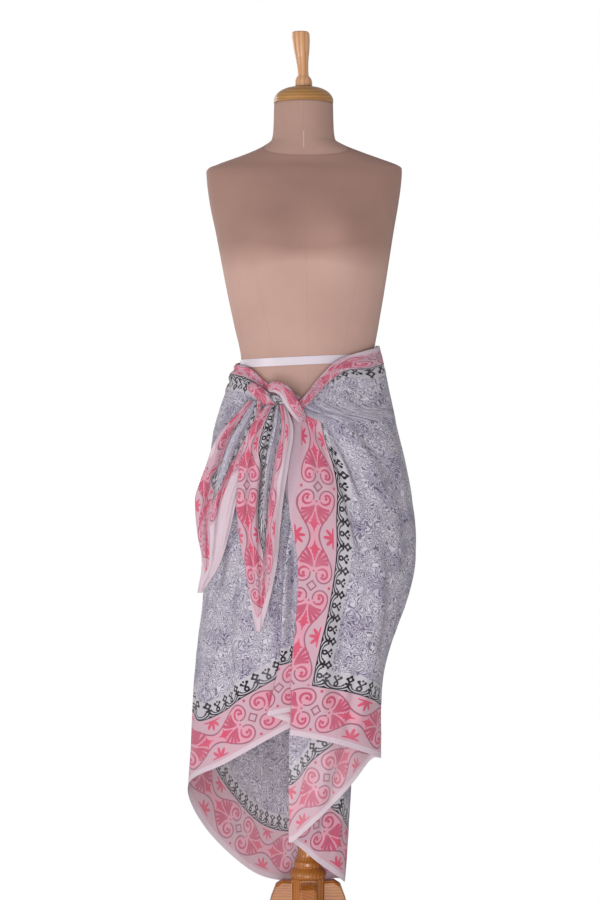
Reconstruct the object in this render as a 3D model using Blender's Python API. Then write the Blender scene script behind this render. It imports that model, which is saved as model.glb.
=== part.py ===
"""A block-printed cotton sarong, wound once round a dress form and knotted in front, on a turned wooden stand.

Metres, +Z up. The origin is on the floor, under the stand's pole. -Y is the front, +X is the wearer's left.
The cloth is worked out from stations: folds and turning points that each have a place at the waist, the hip,
the thigh, the knee and the hem. Smooth curves run through the stations both round and down the cloth.
"""

import math

import bpy
import numpy as np

MM = 0.001

# The form, as horizontal sections from the bottom up.
FORM_BOTTOM = 0.850
NECK_TOP = 1.633
# Columns: height, half width, depth in front, depth at the back, squareness of the section, sideways lean.
FORM_SECTIONS = np.array([
    (0.850, 0.154, 0.098, 0.116, 2.3, 0.000),
    (0.920, 0.163, 0.104, 0.123, 2.3, 0.000),
    (1.010, 0.155, 0.100, 0.110, 2.25, 0.000),
    (1.100, 0.134, 0.092, 0.091, 2.2, 0.000),
    (1.168, 0.119, 0.086, 0.080, 2.15, -0.001),
    (1.237, 0.1305, 0.090, 0.086, 2.15, -0.003),
    (1.284, 0.1395, 0.094, 0.092, 2.15, -0.004),
    (1.338, 0.1490, 0.098, 0.097, 2.2, -0.005),
    (1.399, 0.1595, 0.101, 0.100, 2.25, -0.006),
    (1.455, 0.1700, 0.094, 0.098, 2.3, -0.007),
    (1.494, 0.1750, 0.080, 0.090, 2.3, -0.007),
    (1.510, 0.1760, 0.071, 0.083, 2.2, -0.007),
    (1.5165, 0.1745, 0.066, 0.079, 2.15, -0.006),
    (1.523, 0.164, 0.062, 0.075, 2.1, -0.005),
    (1.534, 0.134, 0.058, 0.070, 2.05, -0.005),
    (1.546, 0.102, 0.056, 0.064, 2.0, -0.006),
    (1.558, 0.076, 0.054, 0.058, 2.0, -0.007),
    (1.568, 0.061, 0.053, 0.055, 2.0, -0.008),
    (1.585, 0.0545, 0.052, 0.053, 2.0, -0.008),
    (1.633, 0.0530, 0.052, 0.052, 2.0, -0.008),
])
FORM_RINGS = 40
FORM_POINTS = 44
BUST_Z = 1.392
BUST_X = 0.070
BUST_DEPTH = 0.027
BUST_WIDE = 0.058
BUST_HIGH = 0.050
BUST_SIDES = 2.5  # how sharply the bust ends at the sides of the body

# The satin ribbon round the waist of the form.
RIBBON_Z = 1.168
RIBBON_SLOPE = 0.035
RIBBON_HEIGHT = 0.015
RIBBON_THICK = 0.0006
RIBBON_LIFT = 0.0013
RIBBON_HALF_WIDTH = 0.117

# The wooden parts.
CAP_PROFILE = np.array([
    (0.0520, 0.0), (0.0535, 0.0015), (0.0535, 0.006), (0.0525, 0.010), (0.0500, 0.0145), (0.0460, 0.019),
    (0.0395, 0.0235), (0.0310, 0.027), (0.0220, 0.029), (0.0165, 0.030),
])
FINIAL_PROFILE = np.array([
    (0.0150, 0.0), (0.0158, 0.003), (0.0155, 0.009), (0.0130, 0.0155), (0.0095, 0.0195), (0.0088, 0.023),
    (0.0090, 0.038), (0.0102, 0.050), (0.0125, 0.064), (0.0140, 0.077), (0.0148, 0.090), (0.0146, 0.096),
    (0.0130, 0.0985),
])
FINIAL_LEAN = -0.065
FINIAL_BEAD = 0.012
POLE_RADIUS = 0.014
BEVEL = 0.004
KNOB_BOTTOM = 0.2405
KNOB_TOP = 0.300
HUB_BOTTOM = 0.070
HUB_ACROSS = 0.058
LEG_THICK = 0.030
LEG_COUNT = 4

# The cloth.
WALL = 0.0012
GAP = 0.0003
HIGH_HIP_Z = 1.050
HIP_Z = 0.920
THIGH_Z = 0.820
KNEE_Z = 0.600
# How far the form's surface is from its axis, about, at the waist, the high hip and the hip.
FORM_ARCS = (0.110, 0.130, 0.150)
ON_FORM = len(FORM_ARCS)

# A row for each fold or turning point of the wound cloth, from the free edge of the over panel to the hidden end.
# Angles are degrees round the form from the front, lifts are millimetres off it, the rest is millimetres.
# Turn is how far apart the layers of a fold lie: above 0 the cloth turns in towards the form, below 0 it turns out.
# Roll is how far the gathered upper edge stands out.
STATION_COLUMNS = (
    "waist_angle", "waist_z", "waist_lift", "high_angle", "high_lift", "hip_angle", "hip_lift",
    "thigh_x", "thigh_y", "knee_x", "knee_y", "hem_x", "hem_y", "hem_z", "turn", "roll",
)
STATIONS = {
    "free_edge":     (-16, 1086, 23, -22, 26, -15, 29, -5, -131, 20, -131, 28, -128, 513, 0, 0),
    "over_edge":     (-11, 1092, 25, -13, 29, -17, 35, -29, -138, -30, -138, -31, -135, 514, -5, 0),
    "over_middle":   (13, 1143, 20, 25, 26, 41, 26, 76, -134, 64, -134, 47, -132, 499, 0, 5),
    "over_side":     (34, 1172, 15, 52, 22, 66, 25, 152, -104, 112, -108, 100, -106, 480, 0, 6),
    "right_fold":    (86, 1197, 9, 87, 14, 89, 22, 191, -18, 134, -58, 128, -70, 466, 6, 4),
    "turn_back":     (48, 1135, 9, 49, 11, 50, 13, 98, -104, 76, -103, 47, -90, 389, 0, 0),
    "inner_fold":    (12, 1085, 10, 3, 9, -6, 8, -22, -105, -32, -101, -34, -84, 319, 6, 0),
    "turn_forward":  (45, 1125, 5, 46, 5, 48, 7, 88, -90, 52, -80, 18, -60, 278, 0, 0),
    "right_back":    (94, 1190, 2.1, 94, 5, 95, 8, 166, 14, 98, 4, 64, -15, 237, 0, 3),
    "back_right":    (135, 1196, 5, 135, 6, 135, 8, 122, 104, 84, 92, 52, 66, 227, 0, 3),
    "back_middle":   (180, 1200, 5, 180, 7, 180, 10, 0, 142, -8, 124, -20, 97, 215, 0, 3),
    "back_left":     (225, 1186, 5, 225, 9, 225, 9, -122, 110, -124, 98, -104, 76, 239, 0, 3),
    "left_back":     (250, 1171, 6, 250, 15, 250, 12, -166, 56, -180, 52, -186, 42, 323, 0, 4),
    "left_side":     (270, 1165, 9, 271, 21, 272, 16, -179, -4, -201, -4, -216, 0, 403, 0, 5),
    "under_middle":  (300, 1156, 10, 308, 18, 316, 15, -120, -97, -132, -92, -141, -82, 460, 0, 5),
    "pleat_back":    (324, 1125, 9, 342, 13, 352, 16, -17, -117, -15, -116, -17, -111, 529, -5, 3),
    "pleat_front":   (334, 1116, 17, 338, 19, 347, 21, -38, -122, -58, -121, -72, -116, 546, -5, 3),
    "under_pleat":   (345, 1109, 17, 350, 20, 356, 22, -10, -125, 2, -124, 2, -119, 558, 0, 2),
    "hidden_end":    (352, 1105, 14, 364, 18, 376, 20, 30, -121, 44, -120, 50, -115, 548, 0, 0),
}
PANELS = {
    "over_panel": ("free_edge", "right_fold"),
    "fold_outer": ("right_fold", "inner_fold"),
    "fold_inner": ("inner_fold", "right_back"),
    "back_panel": ("right_back", "left_side"),
    "under_panel": ("left_side", "hidden_end"),
}
COLUMN_SPACING = 0.021
TURN_COLUMNS = 2
ROLL_HEIGHT = 0.054
ROLL_PITCH = 0.027
ROLL_ROWS = 7
PANEL_ROWS = 9

# The loose corners of the cloth, a row for each height from the knot to the tip.
# Columns: the middle's x, y and z, the half width and the half depth of the folds.
TAILS = {
    "tail_left": np.array([
        (-93, -118.4, 1095.5, 10, 6),
        (-103.5, -126.8, 1072, 20, 8),
        (-125, -127, 1032, 33, 10),
        (-142, -118, 982, 37, 11),
        (-162, -105, 922, 37, 10),
        (-168, -93, 862, 29, 9),
        (-173, -84, 807, 16, 7),
        (-191, -77, 758, 4, 3),
    ]) * MM,
    "tail_right": np.array([
        (-56, -134, 1088, 16, 7),
        (-63, -144.2, 1050, 36, 10),
        (-75, -146.2, 995, 42, 11),
        (-83, -142.2, 935, 41, 11),
        (-86, -137.2, 885, 38, 10),
        (-85, -132.2, 825, 32, 9),
        (-85, -128.2, 755, 19, 7),
        (-86, -125.2, 694, 4, 3),
    ]) * MM,
}
# A tail's cross-section, from one edge to the other: how far along the cloth, and where across and how far back.
TAIL_FOLDS = {
    "tail_left": np.array([
        (0.00, -0.62, 0.70), (0.08, -0.94, 0.45), (0.14, -1.00, 0.05), (0.21, -0.90, -0.40),
        (0.45, -0.22, -0.95), (0.68, 0.34, -0.20), (1.00, 1.00, -0.75),
    ]),
    "tail_right": np.array([
        (0.00, -0.60, 0.70), (0.08, -0.93, 0.45), (0.14, -1.00, 0.05), (0.21, -0.88, -0.45),
        (0.38, -0.38, -0.95), (0.55, 0.02, -0.15), (0.76, 0.46, -0.85), (1.00, 1.00, 0.05),
    ]),
}
TAIL_OPENS = 0.4
TAIL_POINTS = 22
TAIL_ROWS = 11

# The knot: a gathered core, and the stretch of cloth that crosses over it.
# Columns: the middle's x, y and z, the half height and the half depth.
KNOT_CORE = np.array([
    (-103, -101.3, 1125, 9, 7), (-86, -110.5, 1108, 11, 10), (-66, -116.3, 1096, 12, 13),
    (-48, -120.4, 1092, 12, 12), (-36, -124.4, 1085, 10, 8), (-26, -125.5, 1079, 7, 5),
]) * MM
KNOT_BAND = np.array([
    (-70, -115.6, 1117.5, 7, 4), (-55, -134.6, 1119, 9.5, 6), (-41, -146.6, 1111, 10.5, 7),
    (-30, -151.6, 1093, 11, 8), (-19, -145, 1077, 11, 7), (-8, -128.5, 1060, 8, 5),
]) * MM
KNOT_POINTS = 16
KNOT_ROWS = 12


def smooth(at, points, wanted, eased=None):
    """Values along a smooth curve through rows of points: cubic pieces, with limited slopes where not eased."""
    at = np.asarray(at, float)
    points = np.asarray(points, float)
    step = np.diff(at)[:, None]
    slope = np.diff(points, axis=0) / step
    before, after = slope[:-1], slope[1:]
    same_way = before * after > 0
    weight_before = 2 * step[1:] + step[:-1]
    weight_after = step[1:] + 2 * step[:-1]
    safe_before = np.where(same_way, before, 1.0)
    safe_after = np.where(same_way, after, 1.0)
    limited = (weight_before + weight_after) / (weight_before / safe_before + weight_after / safe_after)
    inner = np.where(same_way, limited, 0.0)
    if eased is not None:
        free = (before * step[1:] + after * step[:-1]) / (step[:-1] + step[1:])
        inner = np.where(np.asarray(eased)[1:-1, None], free, inner)
    tangent = np.vstack([slope[:1], inner, slope[-1:]])
    wanted = np.asarray(wanted, float)
    i = np.clip(np.searchsorted(at, wanted, side="right") - 1, 0, len(at) - 2)
    h = step[i]
    t = ((wanted - at[i])[:, None]) / h
    return (
        (2 * t**3 - 3 * t**2 + 1) * points[i]
        + (t**3 - 2 * t**2 + t) * h * tangent[i]
        + (3 * t**2 - 2 * t**3) * points[i + 1]
        + (t**3 - t**2) * h * tangent[i + 1]
    )


def form_section(z):
    """The form's half width, front depth, back depth, squareness and lean at heights z."""
    return smooth(FORM_SECTIONS[:, 0], FORM_SECTIONS[:, 1:], np.clip(z, FORM_BOTTOM, NECK_TOP)).T


def form_radius(angle, z):
    """How far the form's surface is from its middle, at an angle in radians round from the front."""
    half_width, front, back, squareness, _ = form_section(z)
    depth = np.where(np.cos(angle) > 0, front, back)
    across = np.abs(np.sin(angle)) / half_width
    along = np.abs(np.cos(angle)) / depth
    return (across**squareness + along**squareness) ** (-1 / squareness)


def on_form(angle_degrees, z, lift):
    """Points that far off the form's surface."""
    angle = np.radians(np.asarray(angle_degrees, float))
    z = np.broadcast_to(np.asarray(z, float), angle.shape)
    radius = form_radius(angle, z) + lift
    return np.stack([radius * np.sin(angle), -radius * np.cos(angle), z], axis=-1)


def wound_stations():
    """The stations with each fold as three points round its turn: the row of every level, and each point's name.

    Places on the form are held as arc length and lift, so that the cloth between them follows the form.
    """
    rows = np.array(list(STATIONS.values()), float)
    column = dict(zip(STATION_COLUMNS, rows.T))
    names = list(STATIONS)
    on_form_levels = [
        np.stack([np.radians(column[f"{level}_angle"]) * arc, -column[f"{level}_lift"] * MM], axis=-1)
        for level, arc in zip(("waist", "high", "hip"), FORM_ARCS)
    ]
    free_levels = [
        np.stack([column[f"{level}_x"], column[f"{level}_y"]], axis=-1) * MM for level in ("thigh", "knee", "hem")
    ]
    flat = np.array(on_form_levels + free_levels)
    places, points = [], []
    for k, name in enumerate(names):
        turn = column["turn"][k] * MM
        heights = (column["waist_z"][k] * MM, HIGH_HIP_Z, HIP_Z, THIGH_Z, KNEE_Z, column["hem_z"][k] * MM)
        for step in (-1, 0, 1) if turn else (0,):
            spot = []
            for level, here in enumerate(flat[:, k]):
                moved = here
                if step:
                    arriving = here - flat[level, k - 1]
                    arriving = arriving / np.linalg.norm(arriving)
                    leaving = flat[level, k + 1] - here
                    leaving = leaving / np.linalg.norm(leaving)
                    # Inwards is off the lift on the form, and towards the axis below it. A level that doesn't
                    # double back at this station has no turn.
                    inward = np.array([0.0, 1.0]) if level < ON_FORM else -here
                    inward = inward - (inward @ arriving) * arriving
                    inward = inward / np.linalg.norm(inward)
                    doubled = min(1.0, max(0.0, -2 * (arriving @ leaving)))
                    path = -arriving if step < 0 else leaving
                    moved = here + path * abs(turn) / 2 + inward * turn / 2 * step * doubled
                spot.append((moved[0], moved[1], heights[level], column["roll"][k] * (step < 1) * MM))
            places.append(spot)
            points.append((name, bool(turn)))
    return np.array(places).transpose(1, 0, 2), points


def levels_in_space(levels):
    """The levels as xyz, from arc length and lift where they are held so."""
    return np.array([
        on_form(np.degrees(level[:, 0] / FORM_ARCS[k]), level[:, 2], -level[:, 1]) if k < ON_FORM else level[:, :3]
        for k, level in enumerate(levels)
    ])


def wound_lengths(levels):
    """The distance from each point to the next at every level, and where each point is along the cloth."""
    chords = np.linalg.norm(np.diff(levels_in_space(levels), axis=1), axis=2)
    return chords, np.concatenate([[0], np.cumsum(np.sqrt(chords.mean(axis=0)))])


def wound_at(wanted):
    """The levels of the cloth at places along it, as levels by places by xyz, and how far the upper edge rolls out."""
    levels, points = wound_stations()
    _, at = wound_lengths(levels)
    eased = np.array([not folded for _, folded in points])
    found = np.array([smooth(at, level, wanted, eased) for level in levels])
    return levels_in_space(found), found[0, :, 3]


def panel_places(first, last):
    """Places along the cloth from one station to another, denser round each fold."""
    levels, points = wound_stations()
    chords, at = wound_lengths(levels)
    names = [name for name, _ in points]
    i = len(names) - 1 - names[::-1].index(first) if first != names[0] else 0
    j = len(names) - 1 - names[::-1].index(last)
    pieces = []
    for k in range(i, j):
        inside_turn = names[k] == names[k + 1]
        n = TURN_COLUMNS if inside_turn else max(2, round(chords[:, k].max() / COLUMN_SPACING))
        pieces.append(np.linspace(at[k], at[k + 1], n, endpoint=False))
    wanted = np.concatenate([*pieces, [at[j]]])
    # Half a gap is left at each end, so that neighbouring stretches don't touch.
    if i > 0:
        wanted[0] = clear_place(wanted[0], 1)
    if j < len(names) - 1:
        wanted[-1] = clear_place(wanted[-1], -1)
    return wanted


def clear_place(place, way):
    """A place along the cloth that is half a gap from this one at every level."""
    move = 1e-4
    start = wound_at(np.array([place]))[0]
    while np.linalg.norm(wound_at(np.array([place + way * move]))[0] - start, axis=-1).min() < GAP / 2:
        move *= 1.2
    return place + way * move


def hang(levels, roll):
    """The rows of the cloth, from its upper edge to its hem, through its levels: rows by places by xyz.

    Between two levels it is the angle round the axis and the distance from it that change smoothly.
    """
    reach = np.linalg.norm(np.diff(levels, axis=0), axis=2)
    down = np.vstack([np.zeros(levels.shape[1]), np.cumsum(reach, axis=0)])
    top = np.linspace(0, ROLL_HEIGHT, ROLL_ROWS)[:-1]
    angle = np.unwrap(np.arctan2(levels[..., 0], -levels[..., 1]), axis=0)
    radius = np.hypot(levels[..., 0], levels[..., 1])
    round_axis = np.stack([angle, radius, levels[..., 2]], axis=-1)
    rows = []
    for k in range(levels.shape[1]):
        wanted = np.concatenate([top, np.linspace(ROLL_HEIGHT, down[-1, k], PANEL_ROWS)])
        turned, far, height = smooth(down[:, k], round_axis[:, k], wanted, [True] * len(levels)).T
        wave = 0.5 - 0.5 * np.cos(2 * math.pi * wanted / ROLL_PITCH)
        far = far + roll[k] * wave * np.clip(1 - wanted / ROLL_HEIGHT, 0, 1) ** 0.5
        rows.append(np.stack([far * np.sin(turned), -far * np.cos(turned), height], axis=-1))
    return np.array(rows).transpose(1, 0, 2)


def wound_surface(first, last):
    """A stretch's middle surface and its unit normals, both as rows by columns by xyz."""
    wanted = panel_places(first, last)
    nudge = 0.001
    points = hang(*wound_at(wanted))
    along = hang(*wound_at(wanted + nudge)) - hang(*wound_at(wanted - nudge))
    normal = np.cross(along, np.gradient(points, axis=0))
    return points, normal / np.linalg.norm(normal, axis=2, keepdims=True)


def grid_normals(points):
    """Unit normals of a grid of points, from the differences along its rows and columns."""
    normal = np.cross(np.gradient(points, axis=1), np.gradient(points, axis=0))
    return normal / np.linalg.norm(normal, axis=2, keepdims=True)


def wall_mesh(points, normals, thickness):
    """Vertices and faces of a closed wall of that thickness, centred on a grid of points."""
    rows, columns = points.shape[:2]
    half = normals * thickness / 2
    vertices = np.concatenate([(points + half).reshape(-1, 3), (points - half).reshape(-1, 3)])
    index = np.arange(rows * columns).reshape(rows, columns)
    a, b, c, d = index[:-1, :-1], index[:-1, 1:], index[1:, 1:], index[1:, :-1]
    # Both sides are cut along the same diagonal, so that the wall is as thick in the middle of each cell.
    outer = np.concatenate([
        np.stack([a, d, c], axis=-1).reshape(-1, 3), np.stack([a, c, b], axis=-1).reshape(-1, 3)
    ])
    inner = outer[:, ::-1] + rows * columns
    rim = np.concatenate([index[0, :], index[1:, -1], index[-1, -2::-1], index[-2:0:-1, 0]])
    following = np.roll(rim, -1)
    below = rim + rows * columns
    sides = np.concatenate([
        np.stack([rim, following, following + rows * columns], axis=-1),
        np.stack([rim, following + rows * columns, below], axis=-1),
    ])
    return vertices, np.concatenate([outer, inner, sides])


def tube_mesh(path, radius_across, radius_deep, points_round):
    """Vertices and faces of a closed tube with oval sections along a path, its ends closed by flat caps."""
    along = np.gradient(path, axis=0)
    along /= np.linalg.norm(along, axis=1, keepdims=True)
    outward = np.array([0.0, -1.0, 0.0])
    deep = outward - (along @ outward)[:, None] * along
    deep /= np.linalg.norm(deep, axis=1, keepdims=True)
    across = np.cross(along, deep)
    turn = np.linspace(0, 2 * math.pi, points_round, endpoint=False)
    ring = (
        path[:, None]
        + across[:, None] * (radius_across[:, None] * np.cos(turn))[..., None]
        + deep[:, None] * (radius_deep[:, None] * np.sin(turn))[..., None]
    )
    return ring_mesh(ring)


def ring_mesh(rings):
    """Vertices and faces of a closed body through rings of points, its ends closed by flat caps."""
    rows, columns = rings.shape[:2]
    index = np.arange(rows * columns).reshape(rows, columns)
    following = np.roll(index, -1, axis=1)
    sides = np.stack([index[:-1], following[:-1], following[1:], index[1:]], axis=-1).reshape(-1, 4)
    faces = [list(face) for face in sides]
    faces.append(list(index[0, ::-1]))
    faces.append(list(index[-1]))
    return rings.reshape(-1, 3), faces


def turned_rings(profile, points_round, centre=(0.0, 0.0)):
    """Rings of a turned piece from rows of radius and height."""
    turn = np.linspace(0, 2 * math.pi, points_round, endpoint=False)
    profile = np.asarray(profile, float)
    circle = np.stack([np.cos(turn), np.sin(turn), np.zeros_like(turn)], axis=-1)
    rings = profile[:, 0][:, None, None] * circle + np.array([0.0, 0.0, 1.0]) * profile[:, 1][:, None, None]
    return rings + np.array([centre[0], centre[1], 0.0])


def material(name, colour, roughness, metallic=0.0):
    """A plain finish."""
    made = bpy.data.materials.new(name)
    made.use_nodes = True
    shader = made.node_tree.nodes["Principled BSDF"]
    shader.inputs["Base Color"].default_value = (*colour, 1.0)
    shader.inputs["Roughness"].default_value = roughness
    shader.inputs["Metallic"].default_value = metallic
    return made


def add_object(name, vertices, faces, finish, smooth_shading=True):
    """A mesh object in the scene, its faces turned outwards."""
    mesh = bpy.data.meshes.new(name)
    mesh.from_pydata([tuple(v) for v in vertices], [], [[int(k) for k in f] for f in faces])
    mesh.update()
    corners = np.array([[vertices[k] for k in (t.vertices[0], t.vertices[1], t.vertices[2])]
                        for t in triangles_of(mesh)])
    if np.linalg.det(corners).sum() < 0:
        mesh.flip_normals()
    if smooth_shading:
        mesh.shade_smooth()
        mesh.set_sharp_from_angle(angle=math.radians(40))
    mesh.materials.append(finish)
    made = bpy.data.objects.new(name, mesh)
    bpy.context.scene.collection.objects.link(made)
    return made


def triangles_of(mesh):
    """The mesh's triangles."""
    mesh.calc_loop_triangles()
    return mesh.loop_triangles


def build_torso(finish):
    """The smooth torso: sections lofted from the hip to the neck, with a soft bust."""
    heights = np.interp(
        np.linspace(0, 1, FORM_RINGS), [0, 0.6, 1], [FORM_BOTTOM, 1.455, NECK_TOP]
    )
    turn = np.linspace(0, 2 * math.pi, FORM_POINTS, endpoint=False)
    angle, z = np.meshgrid(turn, heights)
    radius = form_radius(angle.ravel(), z.ravel()).reshape(z.shape)
    lean = form_section(heights)[4][:, None]
    x = radius * np.sin(angle)
    y = -radius * np.cos(angle)
    mound = sum(
        np.exp(-(((x - side * BUST_X) / BUST_WIDE) ** 2) - ((z - BUST_Z) / BUST_HIGH) ** 2)
        for side in (-1, 1)
    )
    y -= BUST_DEPTH * mound * np.clip(np.cos(angle) * BUST_SIDES, 0, 1)
    rings = np.stack([x + lean, y, z], axis=-1)
    return add_object("torso", *ring_mesh(rings), finish)


def build_ribbon(finish):
    """The ribbon: a thin closed band just clear of the form's waist."""
    turn = np.linspace(0, 2 * math.pi, 72, endpoint=False)
    middle = RIBBON_Z + RIBBON_SLOPE * np.sin(turn) * RIBBON_HALF_WIDTH
    lean = form_section(np.array([RIBBON_Z]))[4][0]
    rings = []
    for height, lift in ((-0.5, 0.0), (0.5, 0.0), (0.5, 1.0), (-0.5, 1.0)):
        z = middle + height * RIBBON_HEIGHT
        ring = form_radius(turn, z) + RIBBON_LIFT + lift * RIBBON_THICK
        rings.append(np.stack([lean + ring * np.sin(turn), -ring * np.cos(turn), z], axis=-1))
    rings = np.array(rings)
    count = len(turn)
    index = np.arange(4 * count).reshape(4, count)
    following = np.roll(index, -1, axis=1)
    below = np.roll(index, -1, axis=0)
    below_following = np.roll(following, -1, axis=0)
    faces = np.stack([index, following, below_following, below], axis=-1).reshape(-1, 4)
    return add_object("waist_ribbon", rings.reshape(-1, 3), faces, finish)


def build_neck_cap(finish):
    """The wooden dome on the neck."""
    lean = FORM_SECTIONS[-1, 5]
    profile = CAP_PROFILE + np.array([0.0, NECK_TOP + GAP])
    return add_object("neck_cap", *ring_mesh(turned_rings(profile, 40, (lean, 0.0))), finish)


def build_finial(finish):
    """The finial: a turned bead with a flared handle above it, leaning a little to the side."""
    lean = FORM_SECTIONS[-1, 5]
    base = NECK_TOP + CAP_PROFILE[-1, 1] + 2 * GAP
    rings = turned_rings(FINIAL_PROFILE, 32)
    rings[..., 0] += lean + FINIAL_LEAN * np.maximum(rings[..., 2] - FINIAL_BEAD, 0)
    rings[..., 2] += base
    return add_object("finial", *ring_mesh(rings), finish)


def build_stand(wood, pole_finish):
    """The pole, its turned knob, the eight-sided hub and the four curved legs."""
    pole = [(POLE_RADIUS, KNOB_TOP + GAP), (POLE_RADIUS, FORM_BOTTOM - GAP)]
    add_object("pole", *ring_mesh(turned_rings(pole, 24)), pole_finish)
    knob = [
        (0.030, KNOB_BOTTOM), (0.0325, KNOB_BOTTOM + 0.003), (0.0330, KNOB_BOTTOM + 0.007),
        (0.0315, KNOB_BOTTOM + 0.012), (0.0270, KNOB_BOTTOM + 0.018), (0.0245, KNOB_BOTTOM + 0.021),
        (0.0255, KNOB_BOTTOM + 0.024), (0.0250, KNOB_BOTTOM + 0.029), (0.0215, KNOB_BOTTOM + 0.034),
        (0.0185, KNOB_BOTTOM + 0.041), (0.0175, KNOB_TOP - 0.004), (0.0165, KNOB_TOP),
    ]
    add_object("knob", *ring_mesh(turned_rings(knob, 36)), wood)
    corner = HUB_ACROSS / 2 / math.cos(math.pi / 8)
    turn = np.linspace(0, 2 * math.pi, 8, endpoint=False) + math.pi / 8
    hub = [
        np.stack([r * np.cos(turn), r * np.sin(turn), np.full(8, z)], axis=-1)
        for r, z in ((corner - 0.006, HUB_BOTTOM), (corner, HUB_BOTTOM + 0.006), (corner, KNOB_BOTTOM - GAP))
    ]
    add_object("hub", *ring_mesh(np.array(hub)), wood, smooth_shading=False)
    for k in range(LEG_COUNT):
        build_leg(f"leg_{k + 1}", 2 * math.pi * k / LEG_COUNT, wood)


def build_leg(name, turn, wood):
    """One leg: a board with a full knee at the hub, a slim ankle and a flat foot."""
    start = HUB_ACROSS / 2 + GAP
    top = np.array([
        (start, 0.236), (0.046, 0.237), (0.058, 0.229), (0.067, 0.205), (0.075, 0.170), (0.092, 0.128),
        (0.125, 0.088), (0.170, 0.060), (0.220, 0.046), (0.258, 0.038), (0.272, 0.022), (0.270, 0.004),
        (0.266, 0.0),
    ])
    under = np.array([
        (start, 0.085), (0.040, 0.080), (0.052, 0.074), (0.062, 0.068), (0.074, 0.062), (0.090, 0.054),
        (0.115, 0.045), (0.150, 0.033), (0.185, 0.023), (0.212, 0.016), (0.226, 0.009), (0.231, 0.002),
        (0.236, 0.0),
    ])
    radial = np.array([math.cos(turn), math.sin(turn), 0.0])
    sideways = np.array([-math.sin(turn), math.cos(turn), 0.0]) * LEG_THICK / 2
    up = np.array([0.0, 0.0, 1.0])
    sections = []
    for (top_r, top_z), (low_r, low_z) in zip(top, under):
        high = top_r * radial + top_z * up
        low = low_r * radial + low_z * up
        inward = (low - high) / np.linalg.norm(low - high) * BEVEL
        soft = sideways * (1 - BEVEL / (LEG_THICK / 2))
        sections.append([
            high + soft, high + inward + sideways, low - inward + sideways, low + soft,
            low - soft, low - inward - sideways, high + inward - sideways, high - soft,
        ])
    return add_object(name, *ring_mesh(np.array(sections)), wood)


def build_panels(finish):
    """The five stretches of the wound cloth, a thin gap apart."""
    for name, (first, last) in PANELS.items():
        points, normals = wound_surface(first, last)
        add_object(name, *wall_mesh(points, normals, WALL), finish)


def build_tail(name, finish):
    """A loose corner: cloth folded to and fro across its width, the folds opening out to one layer at the tip."""
    rows = TAILS[name]
    folds = TAIL_FOLDS[name]
    drop = np.concatenate([[0], np.cumsum(np.linalg.norm(np.diff(rows[:, :3], axis=0), axis=1))])
    line = smooth(drop, rows, np.linspace(0, drop[-1], TAIL_ROWS))
    opened = np.clip((np.linspace(0, 1, TAIL_ROWS) - TAIL_OPENS) / (1 - TAIL_OPENS), 0, 1)
    share = np.linspace(0, 1, TAIL_POINTS)
    folded = smooth(folds[:, 0], folds[:, 1:], share, [True] * len(folds))
    opened = opened[:, None]
    across = folded[:, 0] * (1 - opened) + (2 * share - 1) * opened
    back = folded[:, 1] * (1 - opened)
    points = line[:, None, :3].repeat(TAIL_POINTS, axis=1)
    points[..., 0] += across * line[:, 3:4]
    points[..., 1] += back * line[:, 4:5]
    return add_object(name, *wall_mesh(points, grid_normals(points), WALL), finish)


def build_knot(finish):
    """The knot: a gathered core that the tails leave from, and the stretch that crosses over it."""
    for name, rows in (("knot_core", KNOT_CORE), ("knot_band", KNOT_BAND)):
        run = np.concatenate([[0], np.cumsum(np.linalg.norm(np.diff(rows[:, :3], axis=0), axis=1))])
        line = smooth(run, rows, np.linspace(0, run[-1], KNOT_ROWS))
        add_object(name, *tube_mesh(line[:, :3], line[:, 3], line[:, 4], KNOT_POINTS), finish)


def main():
    for existing in list(bpy.data.objects):
        bpy.data.objects.remove(existing)
    cotton = material("printed_cotton", (0.80, 0.74, 0.80), 0.85)
    jersey = material("form_jersey", (0.44, 0.31, 0.27), 0.7)
    satin = material("satin_ribbon", (0.85, 0.82, 0.86), 0.35)
    light_wood = material("finial_wood", (0.62, 0.38, 0.19), 0.4)
    stand_wood = material("stand_wood", (0.45, 0.22, 0.06), 0.35)
    build_torso(jersey)
    build_ribbon(satin)
    build_neck_cap(light_wood)
    build_finial(light_wood)
    build_stand(stand_wood, stand_wood)
    build_panels(cotton)
    build_knot(cotton)
    for name in TAILS:
        build_tail(name, cotton)


main()
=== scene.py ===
# A block-printed cotton sarong on a dress form: the finish of every surface, built round the packed
# solids. Metres, +Z up, -Y is the front and +X the wearer's left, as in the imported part.
import math

import bpy
import numpy as np
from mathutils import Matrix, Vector


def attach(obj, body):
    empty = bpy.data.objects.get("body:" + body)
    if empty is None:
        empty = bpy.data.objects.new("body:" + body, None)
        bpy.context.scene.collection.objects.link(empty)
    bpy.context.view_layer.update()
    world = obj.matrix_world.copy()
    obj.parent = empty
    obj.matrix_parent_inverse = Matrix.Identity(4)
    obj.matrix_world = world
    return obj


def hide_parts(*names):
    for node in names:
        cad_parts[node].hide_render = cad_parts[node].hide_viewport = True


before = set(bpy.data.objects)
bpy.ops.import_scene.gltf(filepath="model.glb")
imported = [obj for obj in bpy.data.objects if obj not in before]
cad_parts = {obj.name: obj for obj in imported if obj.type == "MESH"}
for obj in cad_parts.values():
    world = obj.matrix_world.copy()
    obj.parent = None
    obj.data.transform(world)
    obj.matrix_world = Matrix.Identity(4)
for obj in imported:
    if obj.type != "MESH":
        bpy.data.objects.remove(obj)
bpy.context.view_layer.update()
mm = 0.001


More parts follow.
